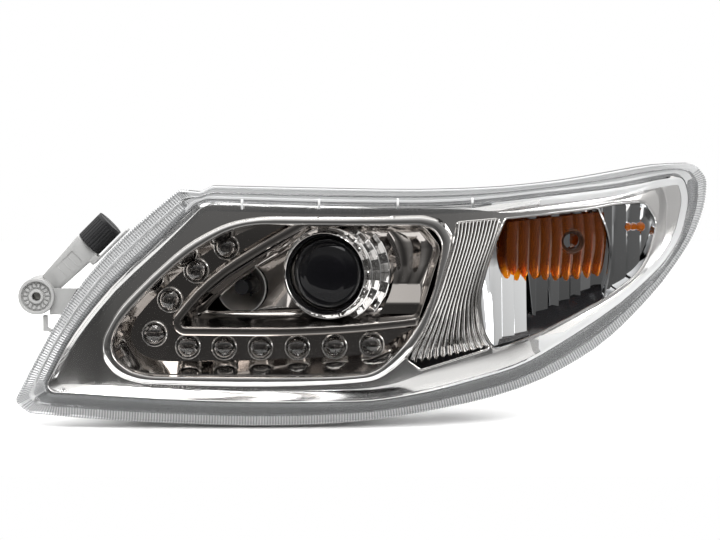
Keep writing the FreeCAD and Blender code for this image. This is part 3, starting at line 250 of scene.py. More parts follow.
def ring_of_vertices(name, ring):
    """A closed loop of vertices, left in edit mode with all of it selected."""
    deselect()
    bpy.ops.mesh.primitive_circle_add(vertices=len(ring), radius=0.1)
    o = bpy.context.object
    o.name = o.data.name = name
    bpy.ops.object.mode_set(mode="EDIT")
    mesh = bmesh.from_edit_mesh(o.data)
    layer = mesh.verts.layers.int.new("spot")
    mesh.verts.ensure_lookup_table()
    for i, v in enumerate(mesh.verts):
        v[layer] = i
    bmesh.update_edit_mesh(o.data)
    bpy.ops.mesh.select_all(action="SELECT")
    place(o, ring)
    return o


def tidy_mesh(o, angle):
    """Merges seams, turns normals outwards and shades by angle."""
    if bpy.context.object.mode != "EDIT":
        bpy.ops.object.mode_set(mode="EDIT")
    bpy.ops.mesh.select_all(action="SELECT")
    bpy.ops.mesh.remove_doubles(threshold=2e-6)
    bpy.ops.mesh.normals_make_consistent(inside=False)
    bpy.ops.object.mode_set(mode="OBJECT")
    bpy.ops.object.shade_smooth_by_angle(angle=math.radians(angle))
    return o


def slice_selected(low, high):
    """Cuts the selected faces into upright strips so that they can follow the sweep."""
    bpy.ops.mesh.hide(unselected=True)
    for x in np.arange(math.ceil(low / SLICE) * SLICE, high, SLICE):
        bpy.ops.mesh.select_all(action="SELECT")
        bpy.ops.mesh.bisect(plane_co=(x * MM, 0, 0), plane_no=(1, 0, 0), threshold=1e-7)
    bpy.ops.mesh.select_all(action="DESELECT")
    bpy.ops.mesh.select_mode(type="EDGE")
    mesh = bmesh.from_edit_mesh(bpy.context.object.data)
    for e in mesh.edges:
        shown = sum(not f.hide for f in e.link_faces)
        if shown == 2 and abs(e.verts[0].co.x - e.verts[1].co.x) > 2e-7:
            e.select_set(True)
    bmesh.update_edit_mesh(bpy.context.object.data)
    bpy.ops.mesh.dissolve_edges(use_verts=False)
    bpy.ops.mesh.select_mode(type="VERT")
    bpy.ops.mesh.select_all(action="SELECT")


def lay_on_sweep(o, d):
    """Sets the selected vertices d behind the sweep."""
    mesh = bmesh.from_edit_mesh(o.data)
    for v in mesh.verts:
        if v.select and not v.hide:
            v.co.y = (float(sweep_y(v.co.x / MM)) + d) * MM
    bmesh.update_edit_mesh(o.data)


def skin(name, rings, wrap=False, end="open", angle=30, d=None):
    """A skin through rings of equal count, wrapped to the first or capped on the sweep or flat."""
    o = ring_of_vertices(name, rings[0])
    for ring in rings[1:]:
        bpy.ops.mesh.extrude_edges_move()
        place(o, ring)
    if wrap:
        bpy.ops.mesh.extrude_edges_move()
        place(o, rings[0])
    if end == "cap":
        bpy.ops.mesh.fill(use_beauty=True)
        slice_selected(min(p[0] for p in rings[-1]), max(p[0] for p in rings[-1]))
        lay_on_sweep(o, d)
        bpy.ops.mesh.reveal()
    elif end == "flat":
        bpy.ops.mesh.edge_face_add()
    return tidy_mesh(o, angle)


def circle(radius, y, count, wobble=None):
    """A ring about +Y at the origin, clockwise from the top. wobble(angle) is added to the radius."""
    angles = np.linspace(0, 2 * math.pi, count, endpoint=False)
    r = radius + (wobble(angles) if wobble else 0) + 0 * angles
    return np.column_stack([r * np.sin(angles), y + 0 * angles, r * np.cos(angles)])


def turned(name, profile, centre=(0, 0, 0), yaw=0.0, count=96, closed=True, angle=30):
    """A lathed piece from (y, radius) points, its axis turned from +Y towards +X. A point may also give
    a wobble of its radius and one of its y, as functions of the angle."""
    rings = []
    for y, radius, *wobble in profile:
        ring = circle(radius, y, count, *wobble[:1])
        if len(wobble) > 1:
            ring[:, 1] += wobble[1](np.linspace(0, 2 * math.pi, count, endpoint=False))
        x = ring[:, 0] * math.cos(yaw) + ring[:, 1] * math.sin(yaw)
        deep = ring[:, 1] * math.cos(yaw) - ring[:, 0] * math.sin(yaw)
        rings.append(np.column_stack([x, deep, ring[:, 2]]) + np.array(centre))
    return skin(name, rings, wrap=closed, angle=angle)


def plate(name, loops, d, thick, angle=30):
    """A plate between outlines, bent to the sweep: the first outline is its edge and the rest are holes."""
    o = joined([ring_of_vertices(f"{name}_{i}", upright(loop, 0)) for i, loop in enumerate(loops)], name)
    bpy.ops.object.mode_set(mode="EDIT")
    bpy.ops.mesh.select_all(action="SELECT")
    bpy.ops.mesh.fill(use_beauty=True)
    slice_selected(loops[0][:, 0].min(), loops[0][:, 0].max())
    bpy.ops.mesh.extrude_region_move(TRANSFORM_OT_translate={"value": (0, thick * MM, 0)})
    mesh = bmesh.from_edit_mesh(o.data)
    for v in mesh.verts:
        v.co.y += (float(sweep_y(v.co.x / MM)) + d) * MM
    bmesh.update_edit_mesh(o.data)
    return tidy_mesh(o, angle)


def thicken(o, thick):
    """Gives a sheet its wall, half to each side."""
    activate(o)
    wall = o.modifiers.new("wall", "SOLIDIFY")
    wall.thickness, wall.offset = thick * MM, 0
    bpy.ops.object.modifier_apply(modifier=wall.name)


def grid(name, across, along, spot, angle=40, thick=None):
    """A sheet whose vertices are spot(u, v), u across and v along, both from 0 to 1."""
    deselect()
    bpy.ops.mesh.primitive_grid_add(x_subdivisions=across, y_subdivisions=along, size=2)
    o = bpy.context.object
    o.name = o.data.name = name
    for v in o.data.vertices:
        v.co = Vector(spot((v.co.x + 1) / 2, (1 - v.co.y) / 2)) * MM
    if thick:
        thicken(o, thick)
    return tidy_mesh(o, angle)


def block(name, low, high, bevel=0.0):
    """A box between two corners, its edges rounded."""
    deselect()
    bpy.ops.mesh.primitive_cube_add(size=2)
    o = bpy.context.object
    o.name = o.data.name = name
    for v in o.data.vertices:
        v.co = Vector([(high[i] if v.co[i] > 0 else low[i]) * MM for i in range(3)])
    if bevel:
        bpy.ops.object.mode_set(mode="EDIT")
        bpy.ops.mesh.select_all(action="SELECT")
        bpy.ops.mesh.bevel(offset=bevel * MM, segments=2, affect="EDGES")
    return tidy_mesh(o, 30)


def cut(o, tool):
    """Takes the tool away from the piece."""
    activate(o)
    change = o.modifiers.new("cut", "BOOLEAN")
    change.operation, change.solver, change.object = "DIFFERENCE", "EXACT", tool
    bpy.ops.object.modifier_apply(modifier=change.name)
    bpy.data.objects.remove(tool)
    return tidy_mesh(o, 30)


def joined(parts, name):
    """One piece of that name from several."""
    deselect()
    for part in parts:
        part.select_set(True)
    o = parts[0]
    bpy.context.view_layer.objects.active = o
    bpy.ops.object.join()
    o.name = o.data.name = name
    return o


def copied(o, shift, name):
    """A copy with a mesh of its own, moved within that mesh."""
    activate(o)
    bpy.ops.object.duplicate()
    twin = bpy.context.object
    twin.name = twin.data.name = name
    twin.data.transform(Matrix.Translation(Vector(shift) * MM))
    return twin


def finish_piece(o, nodes, slot, *materials):
    """Ties a finished piece to the nodes that it stands for, and gives it its materials."""
    o.data.materials.clear()
    for m in materials:
        o.data.materials.append(m)
    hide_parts(*nodes)
    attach(o, frame["nodes"][nodes[0]]["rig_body"])


# ---- materials -----------------------------------------------------------------------------------
def feed(tree, node, inputs):
    """Gives a node's inputs their values or the sockets that they follow."""
    for name, value in inputs.items():
        if isinstance(value, bpy.types.NodeSocket):
            tree.links.new(value, node.inputs[name])
        else:
            node.inputs[name].default_value = value


def add_node(tree, kind, inputs=None, **fields):
    """A shader node with its fields set and its inputs fed."""
    node = tree.nodes.new("ShaderNode" + kind)
    for name, value in fields.items():
        setattr(node, name, value)
    feed(tree, node, inputs or {})
    return node


def grain_group():
    """Shared unevenness: a broad tone from 0 to 1 and a fine grain from 0 to 1."""
    if "Moulded surface" in bpy.data.node_groups:
        return bpy.data.node_groups["Moulded surface"]
    group = bpy.data.node_groups.new("Moulded surface", "ShaderNodeTree")
    for name in ("Tone", "Grain"):
        group.interface.new_socket(name, in_out="OUTPUT", socket_type="NodeSocketFloat")
    for name, start in (("Broad", 14.0), ("Fine", 900.0)):
        socket = group.interface.new_socket(name, in_out="INPUT", socket_type="NodeSocketFloat")
        socket.default_value = start
    get, give = group.nodes.new("NodeGroupInput"), group.nodes.new("NodeGroupOutput")
    where = add_node(group, "TexCoord").outputs["Object"]
    for name, scale, detail in (("Tone", "Broad", 2.0), ("Grain", "Fine", 1.0)):
        noise = add_node(group, "TexNoise", {"Detail": detail, "Vector": where,
                                             "Scale": get.outputs[scale]})
        feed(group, give, {name: noise.outputs["Fac"]})
    return group


def finish(name, colour, rough, metallic=0.0, vary=0.12, uneven=0.05, bump=0.0, broad=14.0, fine=900.0,
           **more):
    """A Principled finish whose tone and roughness wander a little, with an optional fine grain."""
    if name in bpy.data.materials:
        return bpy.data.materials[name]
    m = bpy.data.materials.new(name)
    m.use_nodes = True
    tree = m.node_tree
    surface = add_node(tree, "Group", node_tree=grain_group())
    feed(tree, surface, {"Broad": broad, "Fine": fine})
    tint = add_node(tree, "Mix", data_type="RGBA")
    feed(tree, tint, {"Factor": surface.outputs["Tone"], "A": (*[c * (1 - vary) for c in colour], 1),
                      "B": (*[min(1, c * (1 + vary)) for c in colour], 1)})
    spread = add_node(tree, "MapRange", {"Value": surface.outputs["Tone"],
                                         "To Min": max(0.0, rough - uneven),
                                         "To Max": min(1.0, rough + uneven)})
    shader = tree.nodes["Principled BSDF"]
    feed(tree, shader, {"Base Color": tint.outputs["Result"], "Roughness": spread.outputs["Result"],
                        "Metallic": metallic})
    feed(tree, shader, {socket.replace("_", " "): value for socket, value in more.items()})
    if bump:
        grain = surface.outputs["Grain"]
        relief = add_node(tree, "Bump", {"Strength": bump, "Distance": 0.0002, "Height": grain})
        feed(tree, shader, {"Normal": relief.outputs["Normal"]})
    return m


def clear(name, tint, rough=0.03, strength=1.0, body=0.0, body_colour=(0.6, 0.62, 0.63)):
    """Clear moulding: see-through with a Fresnel mirror on it, and a share of milky body."""
    if name in bpy.data.materials:
        return bpy.data.materials[name]
    m = bpy.data.materials.new(name)
    m.use_nodes = True
    tree = m.node_tree
    tree.nodes.remove(tree.nodes["Principled BSDF"])
    tone = add_node(tree, "Group", node_tree=grain_group()).outputs["Tone"]
    spread = add_node(tree, "MapRange", {"Value": tone, "To Min": rough * 0.6, "To Max": rough * 1.4})
    through = add_node(tree, "BsdfTransparent", {"Color": (*tint, 1)})
    mirror = add_node(tree, "BsdfGlossy", {"Color": (strength, strength, strength, 1),
                                           "Roughness": spread.outputs["Result"]})
    fresnel = add_node(tree, "Fresnel", {"IOR": 1.45})
    last = add_node(tree, "MixShader", {"Fac": fresnel.outputs["Fac"], 1: through.outputs["BSDF"],
                                        2: mirror.outputs["BSDF"]})
    if body:
        milk = add_node(tree, "BsdfPrincipled", {"Base Color": (*body_colour, 1), "Roughness": 0.18,
                                                 "Coat Weight": 0.5})
        last = add_node(tree, "MixShader", {"Fac": body, 1: last.outputs["Shader"],
                                            2: milk.outputs["BSDF"]})
    feed(tree, tree.nodes["Material Output"], {"Surface": last.outputs["Shader"]})
    return m


def housing_finish(black, grey):
    """Black moulding for the back housing, with a light grey lug outside the inboard slope of the flange."""
    m = finish("Housing plastic", black, 0.45, bump=0.25, vary=0.2)
    if "Lug side" in m.node_tree.nodes:
        return m
    tree = m.node_tree
    shader = tree.nodes["Principled BSDF"]
    where = add_node(tree, "TexCoord")
    across = add_node(tree, "VectorMath", {0: where.outputs["Object"], 1: LUG_WAY}, name="Lug side",
                      operation="DOT_PRODUCT")
    outside = add_node(tree, "Math", {0: across.outputs["Value"], 1: LUG_START}, operation="GREATER_THAN")
    pick = add_node(tree, "Mix", data_type="RGBA")
    feed(tree, pick, {"Factor": outside.outputs["Value"], "B": (*grey, 1),
                      "A": shader.inputs["Base Color"].links[0].from_socket})
    feed(tree, shader, {"Base Color": pick.outputs["Result"]})
    return m


def smoked_chrome():
    """Plating of the light strip's pan and of the bowl."""
    return finish("Smoked chrome", settings().smoke, 0.09, metallic=1.0, vary=0.1, uneven=0.03)


def bright_chrome():
    """Plating of the outboard reflector."""
    return finish("Bright chrome", settings().bright, 0.06, metallic=1.0, vary=0.04, uneven=0.02)


def light_grey():
    """Moulding of the aim adjusters."""
    return finish("Light grey moulding", settings().grey, 0.38, vary=0.05, bump=0.12)


def bulb_glass():
    """Dim glass of the beam bulbs."""
    return finish("Bulb glass", (0.30, 0.29, 0.28), 0.05, vary=0.1, Coat_Weight=1.0)


# ---- settings ------------------------------------------------------------------------------------
def colour(name, text, value):
    """A colour that the panel shows."""
    return bpy.props.FloatVectorProperty(name=name, description=text, subtype="COLOR", size=3, min=0, max=1,
                                         default=value)


class HeadlightSettings(bpy.types.PropertyGroup):
    """Colours and sizes that a user may change"""
    chrome: colour("Chrome", "Tint of the bezel's plating", (0.86, 0.845, 0.83))
    smoke: colour("Smoked chrome", "Tint of the plating round the light strip and the beams",
                  (0.43, 0.405, 0.385))
    bright: colour("Bright chrome", "Tint of the outboard reflector", (0.86, 0.87, 0.88))
    amber: colour("Amber", "Colour of the signal lens and bulbs", (0.85, 0.20, 0.012))
    housing: colour("Housing", "Colour of the back housing", (0.012, 0.012, 0.013))
    grey: colour("Light grey moulding", "Colour of the aim adjuster's case and lug", (0.38, 0.38, 0.375))
    lens_points: bpy.props.IntProperty(name="Lens edge points",
                                       description="Vertices round the lens edge, two a rib", default=1200,
                                       min=400, max=2400)
    led_radius: bpy.props.FloatProperty(name="Collimator radius",
                                        description="Radius of a light strip collimator", default=0.0116,
                                        min=0.006, max=0.014, unit="LENGTH", precision=4)
    projector_radius: bpy.props.FloatProperty(name="Projector lens radius",
                                              description="Radius of the beam lens", default=0.033,
                                              min=0.02, max=0.037, unit="LENGTH", precision=4)
    flutes: bpy.props.IntProperty(name="Flutes", description="Flutes across the panel between the windows",
                                  default=12, min=4, max=30)


def settings():
    """The scene's own headlight settings."""
    return bpy.context.scene.headlight


# ---- lens ----------------------------------------------------------------------------------------
class HEADLIGHT_OT_lens(bpy.types.Operator):
    """Clear outer lens with its ribbed flange and lip"""
    bl_idname = "headlight.lens"
    bl_label = "Outer lens"

    def execute(self, context):
        count = settings().lens_points
        flange = spaced(rounded(FLANGE_LINE), count)
        bezel = spaced(rounded(BEZEL_LINE), 1600)
        places = matched(flange, bezel)
        odd = (np.arange(count) % 2)[:, None]
        facing = normals(flange)
        upper = (facing[:, 1] > 0.75) & (flange[:, 0] > -275)       # the top band is smooth
        inboard = (facing[:, 0] < -0.3) & (flange[:, 0] < -280)     # the slope carries a second row of ribs

        def face(out):
            return picked(grown(bezel, out), places)

        def ribbed(out, deep, d_deep, d):
            deeper = odd * ~upper[:, None]
            line = grown(flange, out) * (1 - deeper) + grown(flange, out - deep) * deeper
            ring = behind(line, d)
            ring[:, 1] += odd[:, 0] * d_deep
            return ring

        def between(share, d, d_deep, where=None):
            ring = behind(face(FACE_GAP) * (1 - share) + grown(flange, -RIM_GAP) * share, d)
            ring[:, 1] += odd[:, 0] * d_deep * (1 if where is None else where)
            return ring

        rings = [behind(face(-4.4), LENS_THICK), behind(face(-3.0), 3.6), behind(face(-3.0), 25.0),
                 behind(face(1.0), 26.0), behind(grown(flange, -2.4), 26.0),
                 behind(grown(flange, -2.2), 40.0), ribbed(0.0, 0.7, 0.0, 40.0),
                 ribbed(0.0, 0.7, 0.0, 22.6), ribbed(-0.8, 0.4, 0.0, 21.4),
                 behind(grown(flange, -1.8), 21.2), between(1.0, 22.0, 0.8, ~upper),
                 between(0.66, 22.0, 0.8, ~upper), between(0.62, 20.9, 0.0), between(0.56, 20.7, 0.0),
                 between(0.50, 21.6, 0.0), between(0.44, 22.0, 0.8, inboard),
                 between(0.10, 22.0, 0.8, inboard), between(0.04, 20.9, 0.0), between(-0.06, 20.7, 0.0),
                 behind(face(2.4), 20.7), behind(face(1.6), 17.0), behind(face(0.5), 2.4),
                 behind(face(-1.0), 0.6), behind(face(-3.0), 0.05), behind(face(-4.0), 0.0),
                 behind(face(-9.0), 0.0)]
        lens = skin("lens_front", rings, end="cap", d=0.0, angle=28)
        back = skin("lens_back", rings[:1] + [behind(face(-9.0), LENS_THICK)], end="cap", d=LENS_THICK,
                    angle=28)
        o = tidy_mesh(joined([lens, back], "clear_lens"), 28)
        self.finish_lens(o, flange, bezel, upper, inboard)
        self.clips()
        return {"FINISHED"}

    def clips(self):
        """Small clips between the lens and the bezel along the top, painted white as the glints that they
        show.
        """
        tab = block("tab", (-1.1, 3.6, 91.5), (1.1, 12, 101.5), 0.3)
        tabs = [copied(tab, (x, float(sweep_y(x)), 0), f"tab_{x}") for x in (-218, -141, -62, 14)]
        bpy.data.objects.remove(tab)
        # Painted glint: the clips' white stands in for the reflections on them.
        white = finish("Clip, painted glint", (0.85, 0.85, 0.85), 0.3, Coat_Weight=0.6)
        finish_piece(joined(tabs, "lens_clips"), ["outer_lens"], "clear_lens", white)

    def finish_lens(self, o, flange, bezel, upper, inboard):
        """Thin face, ribs, lip and milky edge, each where it lies between the bezel and the flange's rim. The
        light lip material is a painted highlight on the face's rounded edge, the top band and every other
        rib; the dark rib material is painted shade on the ribs between.
        """
        clear_face = clear("Lens face", (0.985, 0.988, 0.99), rough=0.02, strength=0.7)
        edge = clear("Lens edge", (0.86, 0.87, 0.88), rough=0.05, strength=1.0, body=0.34,
                     body_colour=(0.42, 0.425, 0.43))
        # Dark rib material: painted shade on every other rib.
        rib = clear("Lens rib, painted shade", (0.6, 0.61, 0.62), rough=0.05, strength=0.9, body=0.75,
                    body_colour=(0.34, 0.345, 0.35))
        # Light lip material: painted highlight on the rounded edge, the top band and the ribs between.
        light = clear("Lens lip, painted highlight", (0.9, 0.91, 0.92), rough=0.04, strength=1.0, body=0.72,
                      body_colour=(0.62, 0.625, 0.63))
        finish_piece(o, ["outer_lens"], "clear_lens", clear_face, edge, rib, light)
        spots = o.data.attributes["spot"].data
        for p in o.data.polygons:
            x, y, z = (c / MM for c in p.center)
            deep = y - float(sweep_y(x))
            if deep < 20.6 or abs(p.normal.y) < 0.2 and deep < 21.2:
                # The face's rounded edge takes the light lip material as a painted highlight line.
                rounded_edge = deep < 1.2 and abs(p.normal.y) < 0.93
                p.material_index = 3 if rounded_edge else 0
                continue
            first = min(spots[v].value for v in p.vertices)
            to_edge = np.hypot(*(flange - (x, z)).T)
            row = to_edge.argmin()
            to_face = max(0.0, np.hypot(*(bezel - (x, z)).T).min() - FACE_GAP)
            share = to_face / (to_face + max(0.0, to_edge[row] - RIM_GAP) + 1e-6)
            if upper[row]:
                # Top band: painted highlight, with a painted dark line of edge material across it.
                p.material_index = 1 if 0.42 < share < 0.64 or deep > 24 else 3
            elif share > 0.64 or inboard[row] and 0.08 < share < 0.46:
                # Ribs: dark rib material as painted shade and light lip as painted highlight, face by face.
                p.material_index = 2 if first % 2 else 3
            else:
                # The inboard slope outside its ribs also takes the light lip as painted highlight.
                p.material_index = 3 if inboard[row] and share > 0.46 else 1


# ---- bezel ---------------------------------------------------------------------------------------
class HEADLIGHT_OT_bezel(bpy.types.Operator):
    """Bezel plate with its sloping ledge, its raised rim and the lips of the outboard openings"""
    bl_idname = "headlight.bezel"
    bl_label = "Bezel"

    def execute(self, context):
        bezel = spaced(rounded(BEZEL_LINE), 700)
        ledge_in = spaced(rounded(LEDGE_LINE), 1400)
        places = matched(bezel, ledge_in, wide=20)
        inner = picked(ledge_in, places)
        rise = normals(bezel)[:, 1]
        rise = np.convolve(np.concatenate([rise[-30:], rise, rise[:30]]), np.ones(61) / 61, "valid")
        lean = 6.6 * rise       # the ledge faces up all round: forward along the foot, back along the top

        def sloped(share, more=0.0):
            ring = behind((1 - share) * grown(bezel, -1.0) + share * inner, PLATE_FACE + more)
            ring[:, 1] += lean * (1 - share) ** 1.15
            return ring

        def edge(out, more):
            ring = behind(grown(bezel, out), PLATE_FACE + more)
            ring[:, 1] += lean
            return ring

        rings = [behind(bezel, 35.0), edge(0.0, 1.2), edge(-0.3, 0.3), sloped(0.0), sloped(0.2),
                 sloped(0.4), sloped(0.6), sloped(0.8), sloped(0.93), sloped(1.0), sloped(1.0, PLATE_THICK),
                 sloped(0.6, PLATE_THICK), sloped(0.15, PLATE_THICK), behind(grown(bezel, -1.6), 35.0)]
        ledge = skin("ledge", rings, wrap=True, angle=24)
        rim = spaced(rounded(RIM_LINE), 600)
        window = spaced(rounded(WINDOW_LINE), 1400)
        inside = picked(window, matched(rim, window))
        flute, chamber = spaced(rounded(FLUTE_LINE), 260), spaced(rounded(CHAMBER_LINE), 360)
        openings = [grown(rim, 0.4), grown(flute, 0.3), grown(chamber, 0.3)]
        sheet = plate("plate", [inner] + openings, PLATE_FACE, PLATE_THICK, angle=24)

        def across(share, d):
            return behind(rim * (1 - share) + inside * share, d)

        profile = [(-0.12, 17.0), (-0.1, 15.8), (0.0, 13.6), (0.05, 11.6), (0.10, 10.6), (0.16, 10.1),
                   (0.3, 9.8), (0.5, 9.7), (0.7, 9.8), (0.84, 10.15), (0.90, 10.8), (0.95, 11.7),
                   (1.0, 12.9), (1.0, 18.4), (0.8, 18.4)]
        raised = skin("rim", [across(share, d) for share, d in profile], wrap=True, angle=20)
        lip = [(0.0, 18.3), (0.0, 14.6), (0.5, 13.9), (1.4, 13.9), (2.0, 14.8), (2.2, 17.0)]
        lips = [skin(name, [behind(grown(line, out), d) for out, d in lip], wrap=True, angle=24)
                for name, line in (("flute_lip", flute), ("chamber_lip", chamber))]
        o = joined([ledge, sheet, raised] + lips, "bezel")
        self.lean_back(o)
        chrome = finish("Bezel chrome", settings().chrome, 0.10, metallic=1.0, vary=0.04, uneven=0.02)
        finish_piece(o, ["main_bezel"], "bezel_chrome", chrome)
        return {"FINISHED"}

    def lean_back(self, o):
        """The plate leans back a little and is upright again along its foot."""
        foot, slope, curl = -50.0, 0.045, 0.00075
        for v in o.data.vertices:
            z = v.co.z / MM
            v.co.y += (slope * max(z, foot) - (0.0 if z > foot else curl * ((z + 80) ** 2 - 900))) * MM


# ---- light strip ---------------------------------------------------------------------------------
def strip(name, rows):
    """A thin wall through rows of equal count."""
    def spot(u, v):
        row = rows[round(u * (len(rows) - 1))]
        return row[round(v * (len(row) - 1))]
    return grid(name, len(rows) - 1, len(rows[0]) - 1, spot, angle=30, thick=1.2)


class HEADLIGHT_OT_light_strip(bpy.types.Operator):
    """Smoked pan of the light strip and its ten collimators"""
    bl_idname = "headlight.light_strip"
    bl_label = "Light strip"

    def execute(self, context):
        s = settings()
        count = 260
        band = spaced(rounded(BAND_LINE, closed=False), count, closed=False)
        apron = spaced(rounded(APRON_LINE, closed=False), count, closed=False)
        side = -normals(band, closed=False)

        def beside(out):
            return band + side * out

        toward = beside(8.0) - apron
        reach = np.hypot(*toward.T)[:, None]

        def inward(distance):
            return apron + toward / reach * np.minimum(distance, 0.62 * reach)

        band_rows = [upright(beside(0.2), -166.0)] + [behind(beside(out), d) for out, d in (
            (0.0, 20.6), (0.5, 19.8), (1.1, 20.0), (6.4, 20.0), (7.0, 19.7), (7.6, 20.5))]
        floor_rows = [upright(beside(8.4), TRAY_FLOOR_Y - 1.6), upright(beside(10.0), TRAY_FLOOR_Y),
                      upright(inward(17.2), TRAY_FLOOR_Y), upright(inward(15.8), TRAY_FLOOR_Y - 1.2)]
        for row in floor_rows:
            row[:, 1] = np.maximum(row[:, 1], band_rows[-1][:, 1] + 1.0)
        apron_rows = [behind(inward(0.6), 19.6), behind(apron - 2.2 * normals(apron, closed=False), 19.4)]
        pan = strip("strip_pan", band_rows + floor_rows + apron_rows)
        finish_piece(pan, ["led_tray"], "smoke_chrome", smoked_chrome())
        glass = clear("Collimator", (0.80, 0.79, 0.78), rough=0.04, strength=1.0)
        core = finish("Collimator core", (0.17, 0.165, 0.16), 0.08, metallic=1.0, vary=0.2, broad=260.0)
        ring_finish = finish("Collimator ring", (0.86, 0.85, 0.83), 0.12, metallic=0.8)
        models = self.collimator(s.led_radius / MM)
        for i, (x, z) in enumerate(LED_PLACES):
            for (part, ending), material in zip(models, (core, ring_finish, glass)):
                piece = copied(part, (x, TRAY_FLOOR_Y, z), f"collimator_{i + 1:02d}{ending}")
                finish_piece(piece, [f"led_lens_{i + 1:02d}"], "optic_plastic", material)
        for part, _ in models:
            bpy.data.objects.remove(part)
        return {"FINISHED"}

    def collimator(self, r):
        """A clear dome and its collar over a core with a grid of cushions on its face, at the origin."""
        points, pitch = 72, 0.4 * r
        rings = []
        for share in (1.0, 0.97, 0.93, 0.88, 0.8, 0.7, 0.6, 0.5, 0.4, 0.3, 0.2, 0.1, 0.0):
            ring = circle(share * 0.8 * r, 0, points)
            cushion = np.abs(np.cos(math.pi * ring[:, 0] / pitch) * np.cos(math.pi * ring[:, 2] / pitch))
            ring[:, 1] = -7.6 - 2.2 * (1 - share ** 2) - 1.7 * cushion * (share < 0.95)
            rings.append(ring)
        back = [circle(0.82 * r, -6.8, points), circle(0.7 * r, 2.5, points), circle(0.0, 2.5, points)]
        core = skin("core", rings[::-1] + back, angle=40)
        collar = turned("collar", [(-5.6, r + 1.5), (-6.4, r + 1.3), (-6.8, r + 0.8), (-6.4, r + 0.3),
                                   (-5.6, r + 0.1), (-1.5, r - 1.4), (0.6, r - 1.4), (0.6, r + 1.5)],
                        count=points)
        outside = [(-12.9, 0.0), (-12.75, 0.18), (-12.3, 0.4), (-11.5, 0.62), (-10.4, 0.8), (-9.2, 0.9),
                   (-8.0, 0.93)]
        inside = [(-7.6, 0.88), (-9.6, 0.72), (-11.0, 0.4), (-11.5, 0.0)]
        dome = turned("dome", [(y, share * r) for y, share in outside + inside], count=points, closed=False)
        return (core, "_core"), (collar, "_ring"), (dome, "")


# ---- beams ---------------------------------------------------------------------------------------
def knurl(count, deep):
    """A wobble of that many fine ridges round a ring."""
    return lambda angles: deep * (0.5 + 0.5 * np.cos(count * angles))


def flat(angles):
    """No wobble."""
    return 0 * angles


def facets(count, deep, start):
    """A saw of flat facets round a ring, every other one reversed."""
    def height(angles):
        place = (angles + start) * count / (2 * math.pi)
        return deep * (np.abs((place % 2) - 1) - 0.5)
    return height


